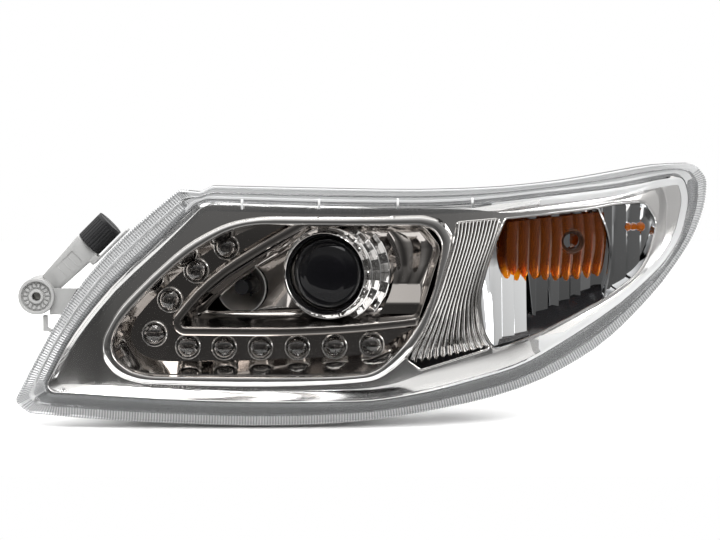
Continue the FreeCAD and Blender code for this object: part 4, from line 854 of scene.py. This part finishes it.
class HEADLIGHT_OT_beams(bpy.types.Operator):
    """Projector with its stepped rings, the high beam dish and the plated bowl round both"""
    bl_idname = "headlight.beams"
    bl_label = "Beams"

    def execute(self, context):
        ring_chrome = finish("Ring chrome", (0.78, 0.77, 0.76), 0.05, metallic=1.0, vary=0.04, uneven=0.02)
        self.lens_and_holder(settings().projector_radius / MM, ring_chrome)
        self.shroud(ring_chrome)
        self.bowl()
        self.high_beam()
        return {"FINISHED"}

    def lens_and_holder(self, r, ring_chrome):
        """Domed projector glass and the ring that holds it."""
        glass = finish("Projector glass", (0.004, 0.004, 0.005), 0.03, vary=0.3, uneven=0.01, IOR=1.24)
        wide, high, steps = r + 3.2, 13.5, 24
        dome = []
        for k in range(steps + 1):
            out = wide * k / steps
            step = 0.35 if out > 0.6 * wide else 0.0
            dome.append((1.0 + step + high * (1 - math.sqrt(max(0.0, 1 - (out / wide * 0.985) ** 2))), out))
        lens = turned("projector_glass", dome + [(16.0, wide), (17.0, r), (19.4, r), (19.4, 0)],
                      PROJECTOR, BEAM_YAW, 128, False, angle=40)
        finish_piece(lens, ["projector_lens"], "projector_glass", glass)
        holder = turned("projector_ring", [(17.2, r + 0.15), (16.6, r + 0.8), (16.6, r + 2.4),
                                           (17.4, r + 3.3), (42.0, r + 3.3), (42.0, r - 1.8),
                                           (19.6, r - 1.8), (19.6, r + 0.15)],
                        PROJECTOR, BEAM_YAW, 128)
        finish_piece(holder, ["lens_holder"], "bright_chrome", ring_chrome)

    def shroud(self, ring_chrome):
        """Knurled throat and three faceted steps behind it."""
        throat = turned("projector_throat",
                        [(3.0, 40.2), (0.6, 41.2), (0.0, 41.7), (0.2, 42.0), (11.0, 42.0), (11.0, 41.2),
                         (13.0, 40.4), (15.0, 37.2), (14.4, 36.9, knurl(160, 0.5)),
                         (9.0, 38.0, knurl(160, 0.6)), (4.0, 39.3, knurl(160, 0.6))],
                        PROJECTOR, BEAM_YAW, 640)
        rings = []
        steps = [(42.0, 47.4, 11.0, 22.0, 26), (47.4, 53.4, 22.0, 34.0, 30), (53.4, 59.9, 34.0, 44.8, 34)]
        for i, (inner, outer, front, back, count) in enumerate(steps):
            rock = facets(count, 1.5, 0.6 * i)
            rings.append(turned(f"step_{i}", [(front + 2.6, inner - 0.6),
                                              (front + 2.2, inner + 0.3, flat, rock),
                                              (front + 1.1, outer - 1.5, flat, rock),
                                              (front + 0.1, outer - 1.1), (front + 0.0, outer - 0.6),
                                              (front + 0.5, outer), (back + 3.0, outer),
                                              (back + 3.0, inner - 0.6)],
                                PROJECTOR, BEAM_YAW, 480, angle=18))
        finish_piece(joined([throat] + rings, "projector_rings"), ["projector_shroud"], "bright_chrome",
                     ring_chrome)

    def bowl(self):
        """Plated bowl from the edge of the beam opening to the floor that the stepped rings run into."""
        line, edge_depth = spaced(rounded(BEAM_LINE), 360), 20.8

        def ring(inset, share):
            moved = grown(line, -inset)
            front = sweep_y(moved[:, 0]) + edge_depth
            return np.column_stack([moved[:, 0], front * (1 - share) + BOWL_FLOOR_Y * share, moved[:, 1]])

        wall = [(-1.0, 0.0), (0.2, 0.0), (1.0, 0.2), (2.2, 0.45), (4.2, 0.7), (7.0, 0.88), (10.5, 0.97),
                (14.0, 1.0)]
        parts = [skin("beam_bowl", [ring(inset, share) for inset, share in wall], angle=30),
                 skin("bowl_floor", [self.floor_outline(line)], end="flat")]
        for part in parts:
            thicken(part, 1.2)
        o = joined(parts + [self.cheek(), self.slope()], "beam_bowl")
        # Painted shade: a darker copy of the smoked chrome on the upward-facing lower walls.
        shade = finish("Smoked chrome, painted shade on lower wall", tuple(0.2 * c for c in settings().smoke), 0.2,
                       metallic=1.0)
        finish_piece(o, ["beam_surround"], "smoke_chrome", smoked_chrome(), shade)
        for p in o.data.polygons:
            p.material_index = 1 if p.normal.z > 0.3 and p.center.z < -0.012 else 0

    def cheek(self):
        """Outboard side of the floor, waved above and stepped below."""
        ring_r, floor_y = 61.6, BOWL_FLOOR_Y - 1.5

        def spot(u, v):
            z = 68 - 86 * v
            left = -127 + math.sqrt(ring_r ** 2 - (z - PROJECTOR.z) ** 2)
            right = -21 + min(0.0, (z - 50) * 0.29) - max(0.0, z - 56) * 0.8
            x = left + (right - left) * u
            step = min(1.0, max(0.0, (12 - z) / 19))
            wave = 2.2 * math.sin(math.pi * (1.5 + 3.4 * u)) * min(1.0, max(0.0, (z - 13) / 18))
            return x, floor_y - 6.4 * step - wave, z

        return grid("bowl_cheek", 24, 60, spot, angle=18, thick=0.8)

    def slope(self):
        """Shelf between the strip's slope and the dish."""
        count = 60
        upper = spaced(np.array([(-254, 6), (-233, 23), (-206, 40), (-181, 55), (-160, 68)], float), count,
                       False)
        lower = spaced(np.array([(-248, 1), (-231, 14), (-210, 28), (-188, 45), (-171, 60)], float), count,
                       False)

        def spot(u, v):
            k = round(v * (count - 1))
            x, z = upper[k] * (1 - u) + lower[k] * u
            return x, np.interp(u, [0, 0.17, 0.83, 1], [-174, -161, -156.5, -147]), z

        return grid("bowl_slope", 12, count - 1, spot, angle=40, thick=0.8)

    def floor_outline(self, line):
        """Outline of the bowl's floor, with a round bite out of it where the dish opens."""
        deep, radius = 14.0, DISH_R + 1.2
        ring = grown(line, -deep)
        away = np.sqrt(((ring[:, None] - line[None]) ** 2).sum(-1)).min(1)
        ring = ring[away > deep - 0.4]                      # no loops where a tight corner folds over
        centre, wide = np.array([HIGH_BEAM.x, HIGH_BEAM.z]), np.array([radius / math.cos(BEAM_YAW), radius])
        inside = np.hypot(*((ring - centre) / wide).T) < 1
        count = len(ring)

        def length(first):
            return next(j for j in range(1, count) if inside[(first + j) % count])

        first = max((k for k in range(count) if inside[k - 1] and not inside[k]), key=length)
        kept = ring[(first + np.arange(length(first))) % count]
        start, stop = (math.atan2(*((p - centre) / wide)[::-1]) for p in (kept[-1], kept[0]))
        arcs = []
        for turn in (0, 1):
            sweep = (stop - start) % (2 * math.pi) - turn * 2 * math.pi
            angles = start + sweep * np.linspace(0.03, 0.97, 60)
            arcs.append(centre + wide * np.column_stack([np.cos(angles), np.sin(angles)]))
        bite = max(arcs, key=lambda arc: arc[30][0])
        return upright(np.vstack([kept, bite]), BOWL_FLOOR_Y)

    def high_beam(self):
        """Parabolic dish and the bulb that sits in its neck."""
        deep, neck, steps = 34, 9.7, 14
        inside = []
        for k in range(steps + 1):
            radius = DISH_R + (neck - DISH_R) * k / steps
            inside.append((deep * (1 - (radius / DISH_R) ** 2) / (1 - (neck / DISH_R) ** 2), radius))
        outside = [(y + 1.4, radius + 0.9) for y, radius in inside[::-1][:-1]]
        rim = DISH_R + 1.0
        profile = [(0.0, rim)] + inside + [(47.8, neck), (47.8, 12.4)] + outside + [(1.2, rim)]
        dish = turned("high_beam_dish", profile, HIGH_BEAM, BEAM_YAW, 96)
        chrome = finish("Dish chrome", (0.66, 0.64, 0.62), 0.36, metallic=1.0, vary=0.1, uneven=0.03)
        finish_piece(dish, ["high_beam_reflector"], "smoke_chrome", chrome)
        bulb = turned("high_beam_glass", [(12.0, 0.0), (12.3, 2.4), (13.6, 4.2), (16.0, 5.4), (35.0, 5.4),
                                          (37.0, 6.6), (40.0, 9.1), (48.4, 9.1), (48.4, 13.0), (51.4, 13.0),
                                          (51.4, 6.6), (62.0, 6.6), (62.0, 0.0)], HIGH_BEAM, BEAM_YAW, 64,
                      False)
        finish_piece(bulb, ["high_beam_bulb"], "bulb_body", bulb_glass())


# ---- panel between the windows -------------------------------------------------------------------
class HEADLIGHT_OT_panel(bpy.types.Operator):
    """Panel of bowed flutes between the two windows"""
    bl_idname = "headlight.panel"
    bl_label = "Fluted panel"

    def execute(self, context):
        flutes = settings().flutes
        left = spaced(rounded(FLUTE_LEFT, closed=False), 400, closed=False)
        right = spaced(rounded(FLUTE_RIGHT, closed=False), 400, closed=False)

        def spot(u, v):
            k = min(398, v * 399)
            low, part = int(k), k - int(k)
            a = left[low] * (1 - part) + left[low + 1] * part
            b = right[low] * (1 - part) + right[low + 1] * part
            p = a * (1 - u) + b * u
            wave = abs(math.sin(math.pi * flutes * u))
            end = max(0.0, (v - 0.93) / 0.07)
            z = p[1] + end * (8.0 * wave - 6.0)
            x = p[0] + end * 1.5
            d = 21.8 - 4.6 * wave + 2.4 * end * (1 - wave)
            return x, float(sweep_y(x)) + d, z

        o = grid("flutes", flutes * 10, 110, spot, angle=50, thick=1.0)
        chrome = finish("Flute chrome", tuple(0.95 * c for c in settings().chrome), 0.08, metallic=1.0,
                        vary=0.06)
        finish_piece(o, ["fluted_panel"], "bezel_chrome", chrome)
        return {"FINISHED"}


# ---- outboard chamber ----------------------------------------------------------------------------
class HEADLIGHT_OT_chamber(bpy.types.Operator):
    """Faceted outboard reflector, amber inner lens and the two small bulbs"""
    bl_idname = "headlight.chamber"
    bl_label = "Signal chamber"

    def execute(self, context):
        self.pan()
        self.amber()
        self.bulbs()
        return {"FINISHED"}

    def pan(self):
        """Walls, faceted back, divider and black floor of the chamber."""
        line, front, back = spaced(rounded(CHAMBER_LINE), 360), 18.9, 47.0

        def ring(out, share):
            moved = grown(line, out)
            y = sweep_y(moved[:, 0])
            return np.column_stack([moved[:, 0], y + front * (1 - share) + back * share, moved[:, 1]])

        wall = skin("chamber_wall", [ring(2.2, 0.0), ring(1.0, 0.0), ring(0.2, 0.05), ring(-1.0, 0.6),
                                     ring(-2.4, 1.0), ring(0.0, 1.07), ring(2.2, 1.07)], wrap=True,
                    angle=30)
        top = spaced(np.array([(20, 60), (41, 76), (146, 84), (168, 88), (203, 89), (216, 72)], float), 300,
                     False)
        low = spaced(np.array([(20, -5), (28, -36), (38, -53), (88, -40), (115, -28), (164, -6), (193, 14),
                               (206, 34), (216, 70)], float), 400, False)
        o = joined([wall] + self.back(top, low) + [self.divider()], "chamber_reflector")
        finish_piece(o, ["turn_reflector"], "bright_chrome", bright_chrome())

        def floor_spot(u, v):
            x = 44 + 112 * u
            z = np.interp(x, low[:, 0], low[:, 1]) + 1.0 + 15.0 * v - 4.0 * u * v
            return x, float(sweep_y(x)) + 19.5 + 23.0 * v, z + 5.0 * v

        floor = grid("chamber_floor", 24, 4, floor_spot, angle=20, thick=0.8)
        black = finish("Chamber floor", (0.012, 0.012, 0.013), 0.12, vary=0.3, Coat_Weight=0.6)
        finish_piece(floor, ["turn_reflector"], "bright_chrome", black)

    def back(self, top, low):
        """Upright facets between two lines. Inboard ones lean out at the foot, with posts between them."""
        edges = [20, 34, 47, 60, 73, 84, 97, 109, 121, 133, 144, 156, 168, 184, 200, 216]
        tilts = [0.0, 0.5, -0.5, 0.5, -4.0, 3.0, -5.0, 2.0, -3.0, 4.0] + [0.0] * 5
        inboard = 75
        panels = []
        for i, (x0, x1, tilt) in enumerate(zip(edges, edges[1:], tilts)):
            leans = x1 <= inboard
            lean = 21.0 if leans else 3.0

            def spot(u, v, x0=x0, x1=x1, tilt=tilt, leans=leans, lean=lean):
                x = x0 + (x1 - x0) * u
                z1 = np.interp(x, top[:, 0], top[:, 1])
                z0 = np.interp(x, low[:, 0], low[:, 1])
                z = z0 + (z1 - z0) * (1 - v)
                middle = x * 0.7 + (x0 + x1) * 0.15 if leans else (x0 + x1) / 2
                high = 38 if leans else z1
                fall = max(0.0, min(1.0, (high - z) / (high - z0)))
                y = float(sweep_y(middle)) + 44.5 + tilt * (u - 0.5) * 0.8 - lean * fall
                y = min(y, float(sweep_y(x)) + 46.5)
                return x, max(y, float(sweep_y(x)) + 22.0), z

            panels.append(grid(f"facet_{i}", 6, 16, spot, angle=20, thick=0.8))
            if 30 < x0 < inboard:
                panels.append(self.post(i, [Vector(spot(0.0, v)) for v in np.linspace(0.3, 1.0, 9)]))
        return panels

    def post(self, i, line):
        """Thin ridge along a line."""
        def spot(u, v):
            return line[round(v * 8)] + Vector((1.1 * (u - 0.5), -0.9 + 3.0 * abs(u - 0.5), 0))
        return grid(f"post_{i}", 2, 8, spot, angle=20, thick=0.4)

    def divider(self):
        """Bowed rib between the signal and the marker."""
        count = 60
        line = spaced(rounded([(150, 87), (160, 66), (165, 44), (164, 22), (158, -6)], closed=False), count,
                      False)

        def spot(u, v):
            x, z = line[round(v * (count - 1))]
            x = x + 1.2 * math.sin(math.pi * u)
            return x, float(sweep_y(x)) + 21.0 + 24.0 * u, z

        return grid("divider", 8, count - 1, spot, angle=40, thick=1.6)

    def amber(self):
        """Amber hood whose lower edge hangs in pointed scallops, fluted upright."""
        top, scallops = np.array([(54, 75), (100, 79), (146, 82.5)], float), 9

        def spot(u, v):
            x = 52 + 104 * u
            wave = abs(math.sin(math.pi * scallops * u))
            bottom = 21 - 5 * u + 10 * (1 - wave) ** 1.2 - 6 * math.sin(math.pi * u)
            high = np.interp(x, top[:, 0], top[:, 1])
            z = high + (bottom - high) * v
            x += 4.0 * math.sin(math.pi * v) * (u - 0.2)
            d = 25.0 - 1.2 * wave + 2.5 * v
            return x, float(sweep_y(x)) + d, z

        x, z = TURN_AXIS[0] - 2, TURN_AXIS[1]
        y = float(sweep_y(x)) + 22.5
        hole = turned("hole", [(-160, 0), (-160, 11.0), (-20, 11.0), (-20, 0)], (x, 0, z), 0.0, 64, False)
        o = cut(grid("amber_hood", 108, 40, spot, angle=60, thick=1.4), hole)
        socket = turned("socket", [(0, 13.4), (-0.8, 13.0), (-0.8, 12.4), (0.6, 11.8), (5.0, 10.8),
                                   (5.0, 9.4), (4.4, 8.6), (4.4, 8.0), (6.0, 8.0), (6.0, 13.4)], (x, y, z),
                        0.0, 72)
        brown = finish("Amber socket", (0.05, 0.022, 0.012), 0.12, vary=0.3, Coat_Weight=0.8)
        finish_piece(socket, ["amber_lens"], "amber_plastic", brown)
        m = clear("Amber lens", (1.0, 0.60, 0.11), rough=0.06, strength=0.8, body=0.07,
                  body_colour=tuple(settings().amber))
        self.painted_shade_top(m)
        finish_piece(o, ["amber_lens"], "amber_plastic", m)

    def painted_shade_top(self, m):
        """Painted shade: the amber turns to a deep brown upwards, along a row of points."""
        tree = m.node_tree
        point, rise, low, high = 0.0058, 1.4, 0.027, 0.039
        where = add_node(tree, "TexCoord")
        split = add_node(tree, "SeparateXYZ", {"Vector": where.outputs["Object"]})
        peaks = add_node(tree, "Math", operation="PINGPONG")
        feed(tree, peaks, {0: split.outputs["X"], 1: point})
        climb = add_node(tree, "Math", operation="MULTIPLY_ADD")
        feed(tree, climb, {0: peaks.outputs["Value"], 1: rise, 2: split.outputs["Z"]})
        share = add_node(tree, "MapRange", {"Value": climb.outputs["Value"], "From Min": low,
                                            "From Max": high})
        # Painted shade colour: deep brown over the top of the amber.
        tint = add_node(tree, "Mix", data_type="RGBA")
        feed(tree, tint, {"Factor": share.outputs["Result"], "A": (1.0, 0.56, 0.09, 1),
                          "B": (0.36, 0.15, 0.06, 1)})
        for node in tree.nodes:
            if node.type == "BSDF_TRANSPARENT":
                feed(tree, node, {"Color": tint.outputs["Result"]})

    def bulbs(self):
        """Signal bulb behind the hood and the two-lobed marker bulb."""
        amber_glass = finish("Amber glass", tuple(0.4 * c for c in settings().amber), 0.08, vary=0.3,
                             broad=160.0, Coat_Weight=1.0)
        x, z = TURN_AXIS
        turn = turned("signal_bulb", [(-92, 0), (-91.2, 3.0), (-89.4, 6.0), (-86, 8.4), (-81, 9.4),
                                      (-72, 9.2), (-66, 7.8), (-60, 7.4), (-60, 0)], (x, 0, z), 0.0, 64,
                      False)
        finish_piece(turn, ["turn_bulb"], "amber_glass", amber_glass)
        x, z = MARKER_AXIS
        lobes = [turned(f"lobe_{k}", [(-63 + 3 * k, 0), (-62.4 + 3 * k, 2.6), (-60.5 + 3 * k, 4.2),
                                      (-57, 5.0), (-51, 4.8), (-47, 3.6), (-46, 0)], (x - 7 + 14 * k, 0, z),
                        0.0, 48, False)
                 for k in (0, 1)]
        bar = turned("marker_stem", [(-58, 0), (-57.4, 3.2), (-55, 4.4), (-44, 4.6), (-44, 0)], (x, 0, z),
                     0.0, 48, False)
        finish_piece(joined(lobes + [bar], "marker_lobes"), ["marker_bulb"], "amber_glass", amber_glass)


# ---- inboard aim adjuster ------------------------------------------------------------------------
class HEADLIGHT_OT_adjuster(bpy.types.Operator):
    """Case of the inboard aim adjuster: ringed boss, tapered arm and knob guard"""
    bl_idname = "headlight.adjuster"
    bl_label = "Inboard adjuster"

    def execute(self, context):
        def ridges(angles):
            return 1.3 * (np.cos(16 * angles) > 0.2)

        boss = turned("boss", [(-10.4, 18.8), (-10.4, 4.6), (-7.0, 4.6), (-7.0, 16.6), (15.8, 16.6),
                               (15.8, 18.9)],
                      count=128)
        face = turned("boss_face", [(-14.2, 18.6), (-19.0, 18.4), (-19.4, 18.0), (-19.4, 16.0),
                                    (-19.0, 15.6), (-15.2, 15.2), (-15.2, 14.0),
                                    (-16.6, 13.4, flat, ridges), (-16.6, 9.4, flat, ridges), (-15.2, 8.6),
                                    (-15.2, 7.6), (-18.2, 7.2), (-18.4, 6.8), (-18.4, 4.9), (-18.0, 4.6),
                                    (-14.2, 4.6)], count=128)
        arm = block("arm", (17.0, -9.5, -14.2), (74.0, 11.0, 14.2), 2.0)
        for v in arm.data.vertices:
            near = (74.0 - v.co.x / MM) / 57.0
            v.co.z *= 1 - 0.22 * near
            v.co.y *= 1 - 0.15 * near
        foot = block("guard_foot", (62.5, -9.5, -18.4), (72.5, 9.5, -12.0), 1.0)
        guard = block("guard", (64.5, -11.8, -18.8), (113.3, 11.8, -16.6), 0.8)
        arm = cut(arm, block("hollow", (28.0, -12.0, -7.5), (58.0, -8.3, 7.5)))
        bars = [block("bar", (34.7, -8.4, -7.6), (36.3, -7.2, 7.6), 0.2)]
        bars += [copied(bars[0], (shift, 0, 0), "bar") for shift in (7.5, 15.0)]
        o = tidy_mesh(joined([boss, face, arm, foot, guard] + bars, "inboard_case"), 30)
        o.data.transform(Matrix.Rotation(math.radians(-45), 4, "Y"))
        o.data.transform(Matrix.Translation(INBOARD_ADJUSTER * MM))
        finish_piece(o, ["inboard_adjuster_case"], "light_grey_plastic", light_grey())
        return {"FINISHED"}


# ---- pieces that keep their modelled shape -------------------------------------------------------
class HEADLIGHT_OT_carried(bpy.types.Operator):
    """Finishes for the pieces that keep their modelled shape"""
    bl_idname = "headlight.carried"
    bl_label = "Other finishes"

    def execute(self, context):
        s = settings()
        by_slot = {
            "housing_black": housing_finish(tuple(s.housing), tuple(s.grey)),
            "sealant": finish("Sealant", (0.03, 0.03, 0.03), 0.7, bump=0.4, fine=400.0),
            "rubber": finish("Rubber", (0.018, 0.018, 0.018), 0.6, bump=0.3),
            "steel": finish("Zinc-plated steel", (0.60, 0.59, 0.56), 0.3, metallic=1.0),
            "light_grey_plastic": light_grey(),
            "knob_black": finish("Knob", (0.01, 0.01, 0.011), 0.42, bump=0.15),
            "gear_nylon": finish("Nylon", (0.72, 0.70, 0.64), 0.4, vary=0.05),
            "brass": finish("Brass", (0.72, 0.50, 0.22), 0.25, metallic=1.0),
            "black_metal": finish("Blackened steel", (0.03, 0.03, 0.032), 0.4, metallic=0.8),
            "cast_metal": finish("Cast metal", (0.34, 0.34, 0.35), 0.45, metallic=1.0, bump=0.4,
                                 fine=500.0),
            "holder_plastic": finish("Black moulding", (0.016, 0.016, 0.017), 0.4, bump=0.2),
            "bulb_body": bulb_glass(),
            "circuit_board": finish("Circuit board", (0.02, 0.07, 0.03), 0.45),
            "emitter": finish("Emitter", (0.80, 0.66, 0.18), 0.3),
            "bright_chrome": bright_chrome(),
            "smoke_chrome": smoked_chrome(),
        }
        slots = {part["node"]: part["material_slot"] for part in frame["record"]["subparts"]}
        for name, o in frame["nodes"].items():
            if o.hide_render:
                continue
            o.data.materials.clear()
            o.data.materials.append(by_slot["black_metal"] if name == "bulb_shield" else by_slot[slots[name]])
            activate(o)
            bpy.ops.object.shade_smooth_by_angle(angle=math.radians(25))
        return {"FINISHED"}


# ---- stage ---------------------------------------------------------------------------------------
def sky():
    """Reflections: dark in front, bright overhead and at the sides. The camera itself sees white."""
    world = bpy.data.worlds.new("Studio")
    bpy.context.scene.world = world
    world.use_nodes = True
    tree = world.node_tree
    plain = tree.nodes["Background"]
    feed(tree, plain, {"Color": (1, 1, 1, 1), "Strength": 1.0})
    where = add_node(tree, "TexCoord")
    split = add_node(tree, "SeparateXYZ", {"Vector": where.outputs["Generated"]})
    rise = add_node(tree, "MapRange", {"Value": split.outputs["Z"], "From Min": -1, "From Max": 1})
    ramp = add_node(tree, "ValToRGB", {"Fac": rise.outputs["Result"]})
    stops = [(0.0, 0.5), (0.25, 0.33), (0.38, 0.10), (0.46, 0.05), (0.50, 0.10), (0.58, 0.16), (0.64, 0.42),
             (0.71, 1.0), (1.0, 1.25)]
    ramp.color_ramp.elements[0].position, ramp.color_ramp.elements[1].position = 0.0, 1.0
    for at, _ in stops[1:-1]:
        ramp.color_ramp.elements.new(at)
    for element, (at, value) in zip(ramp.color_ramp.elements, stops):
        element.position = at
        element.color = (value, value * 0.995, value * 0.985, 1)
    away = add_node(tree, "Math", {0: split.outputs["X"]}, operation="ABSOLUTE")
    side = add_node(tree, "Math", {0: away.outputs["Value"], 1: 4.0}, operation="POWER", use_clamp=True)
    add = add_node(tree, "Mix", data_type="RGBA", blend_type="ADD")
    feed(tree, add, {"Factor": side.outputs["Value"], "A": ramp.outputs["Color"],
                     "B": (0.42, 0.42, 0.42, 1)})
    seen = add_node(tree, "Background", {"Color": add.outputs["Result"], "Strength": 1.0})
    ray = add_node(tree, "LightPath")
    mix = add_node(tree, "MixShader", {"Fac": ray.outputs["Is Camera Ray"], 1: seen.outputs["Background"],
                                       2: plain.outputs["Background"]})
    feed(tree, tree.nodes["World Output"], {"Surface": mix.outputs["Shader"]})


def soft_light(name, where, target, size, power):
    """A rectangular lamp that faces its target."""
    deselect()
    bpy.ops.object.light_add(type="AREA", location=where)
    lamp = bpy.context.object
    lamp.name = lamp.data.name = name
    lamp.data.shape = "RECTANGLE"
    lamp.data.size, lamp.data.size_y = size
    lamp.data.energy = power
    lamp.rotation_euler = (Vector(target) - Vector(where)).to_track_quat("-Z", "Y").to_euler()
    return lamp


class HEADLIGHT_OT_stage(bpy.types.Operator):
    """Pale floor, soft light and the camera"""
    bl_idname = "headlight.stage"
    bl_label = "Stage"

    def execute(self, context):
        sky()
        deselect()
        bpy.ops.mesh.primitive_plane_add(size=2)
        floor = bpy.context.object
        floor.name = floor.data.name = "floor"
        for v in floor.data.vertices:
            v.co = Vector((2.2 if v.co.x > 0 else -2.4, 2.4 if v.co.y > 0 else -0.43, -0.1325))
        pale = finish("Floor", (0.93, 0.93, 0.93), 0.9, vary=0.004, uneven=0.02)
        floor.data.materials.append(pale)
        lights = [soft_light("key", (-0.5, -1.1, 1.5), (-0.1, -0.1, 0.0), (1.6, 0.8), 34),
                  soft_light("fill", (1.5, -0.9, 0.7), (0, -0.1, 0), (0.7, 1.0), 9),
                  soft_light("back", (-0.2, 1.2, 1.4), (-0.1, 0.1, 0), (2.0, 0.9), 30)]
        aim, tilt, far = Vector((-0.100, -0.200, 0.031)), math.radians(5), 2.0
        look = Vector((0, math.cos(tilt), -math.sin(tilt)))
        bpy.ops.object.camera_add(location=aim - look * far)
        camera = bpy.context.object
        camera.rotation_euler = look.to_track_quat("-Z", "Y").to_euler()
        camera.data.lens, camera.data.sensor_width = 100.0, 36.0
        camera.data.clip_start, camera.data.clip_end = 0.05, 50
        bpy.context.scene.camera = camera
        bpy.context.scene.view_settings.view_transform = "Standard"
        return {"FINISHED"}


class HEADLIGHT_PT_panel(bpy.types.Panel):
    """Settings and one button a piece"""
    bl_label = "Headlight"
    bl_space_type = "VIEW_3D"
    bl_region_type = "UI"
    bl_category = "Headlight"

    def draw(self, context):
        for name in HeadlightSettings.__annotations__:
            self.layout.prop(context.scene.headlight, name)
        for operator in STEPS:
            self.layout.operator(operator.bl_idname)


STEPS = (HEADLIGHT_OT_lens, HEADLIGHT_OT_bezel, HEADLIGHT_OT_light_strip, HEADLIGHT_OT_beams,
         HEADLIGHT_OT_panel, HEADLIGHT_OT_chamber, HEADLIGHT_OT_adjuster, HEADLIGHT_OT_carried,
         HEADLIGHT_OT_stage)
CLASSES = (HeadlightSettings, *STEPS, HEADLIGHT_PT_panel)


def register():
    for c in CLASSES:
        bpy.utils.register_class(c)
    bpy.types.Scene.headlight = bpy.props.PointerProperty(type=HeadlightSettings)


def unregister():
    del bpy.types.Scene.headlight
    for c in reversed(CLASSES):
        bpy.utils.unregister_class(c)


def main():
    """Builds every piece in order."""
    register()
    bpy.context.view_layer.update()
    for step in STEPS:
        group, name = step.bl_idname.split(".")
        getattr(getattr(bpy.ops, group), name)()


if __name__ == "__main__":
    main()
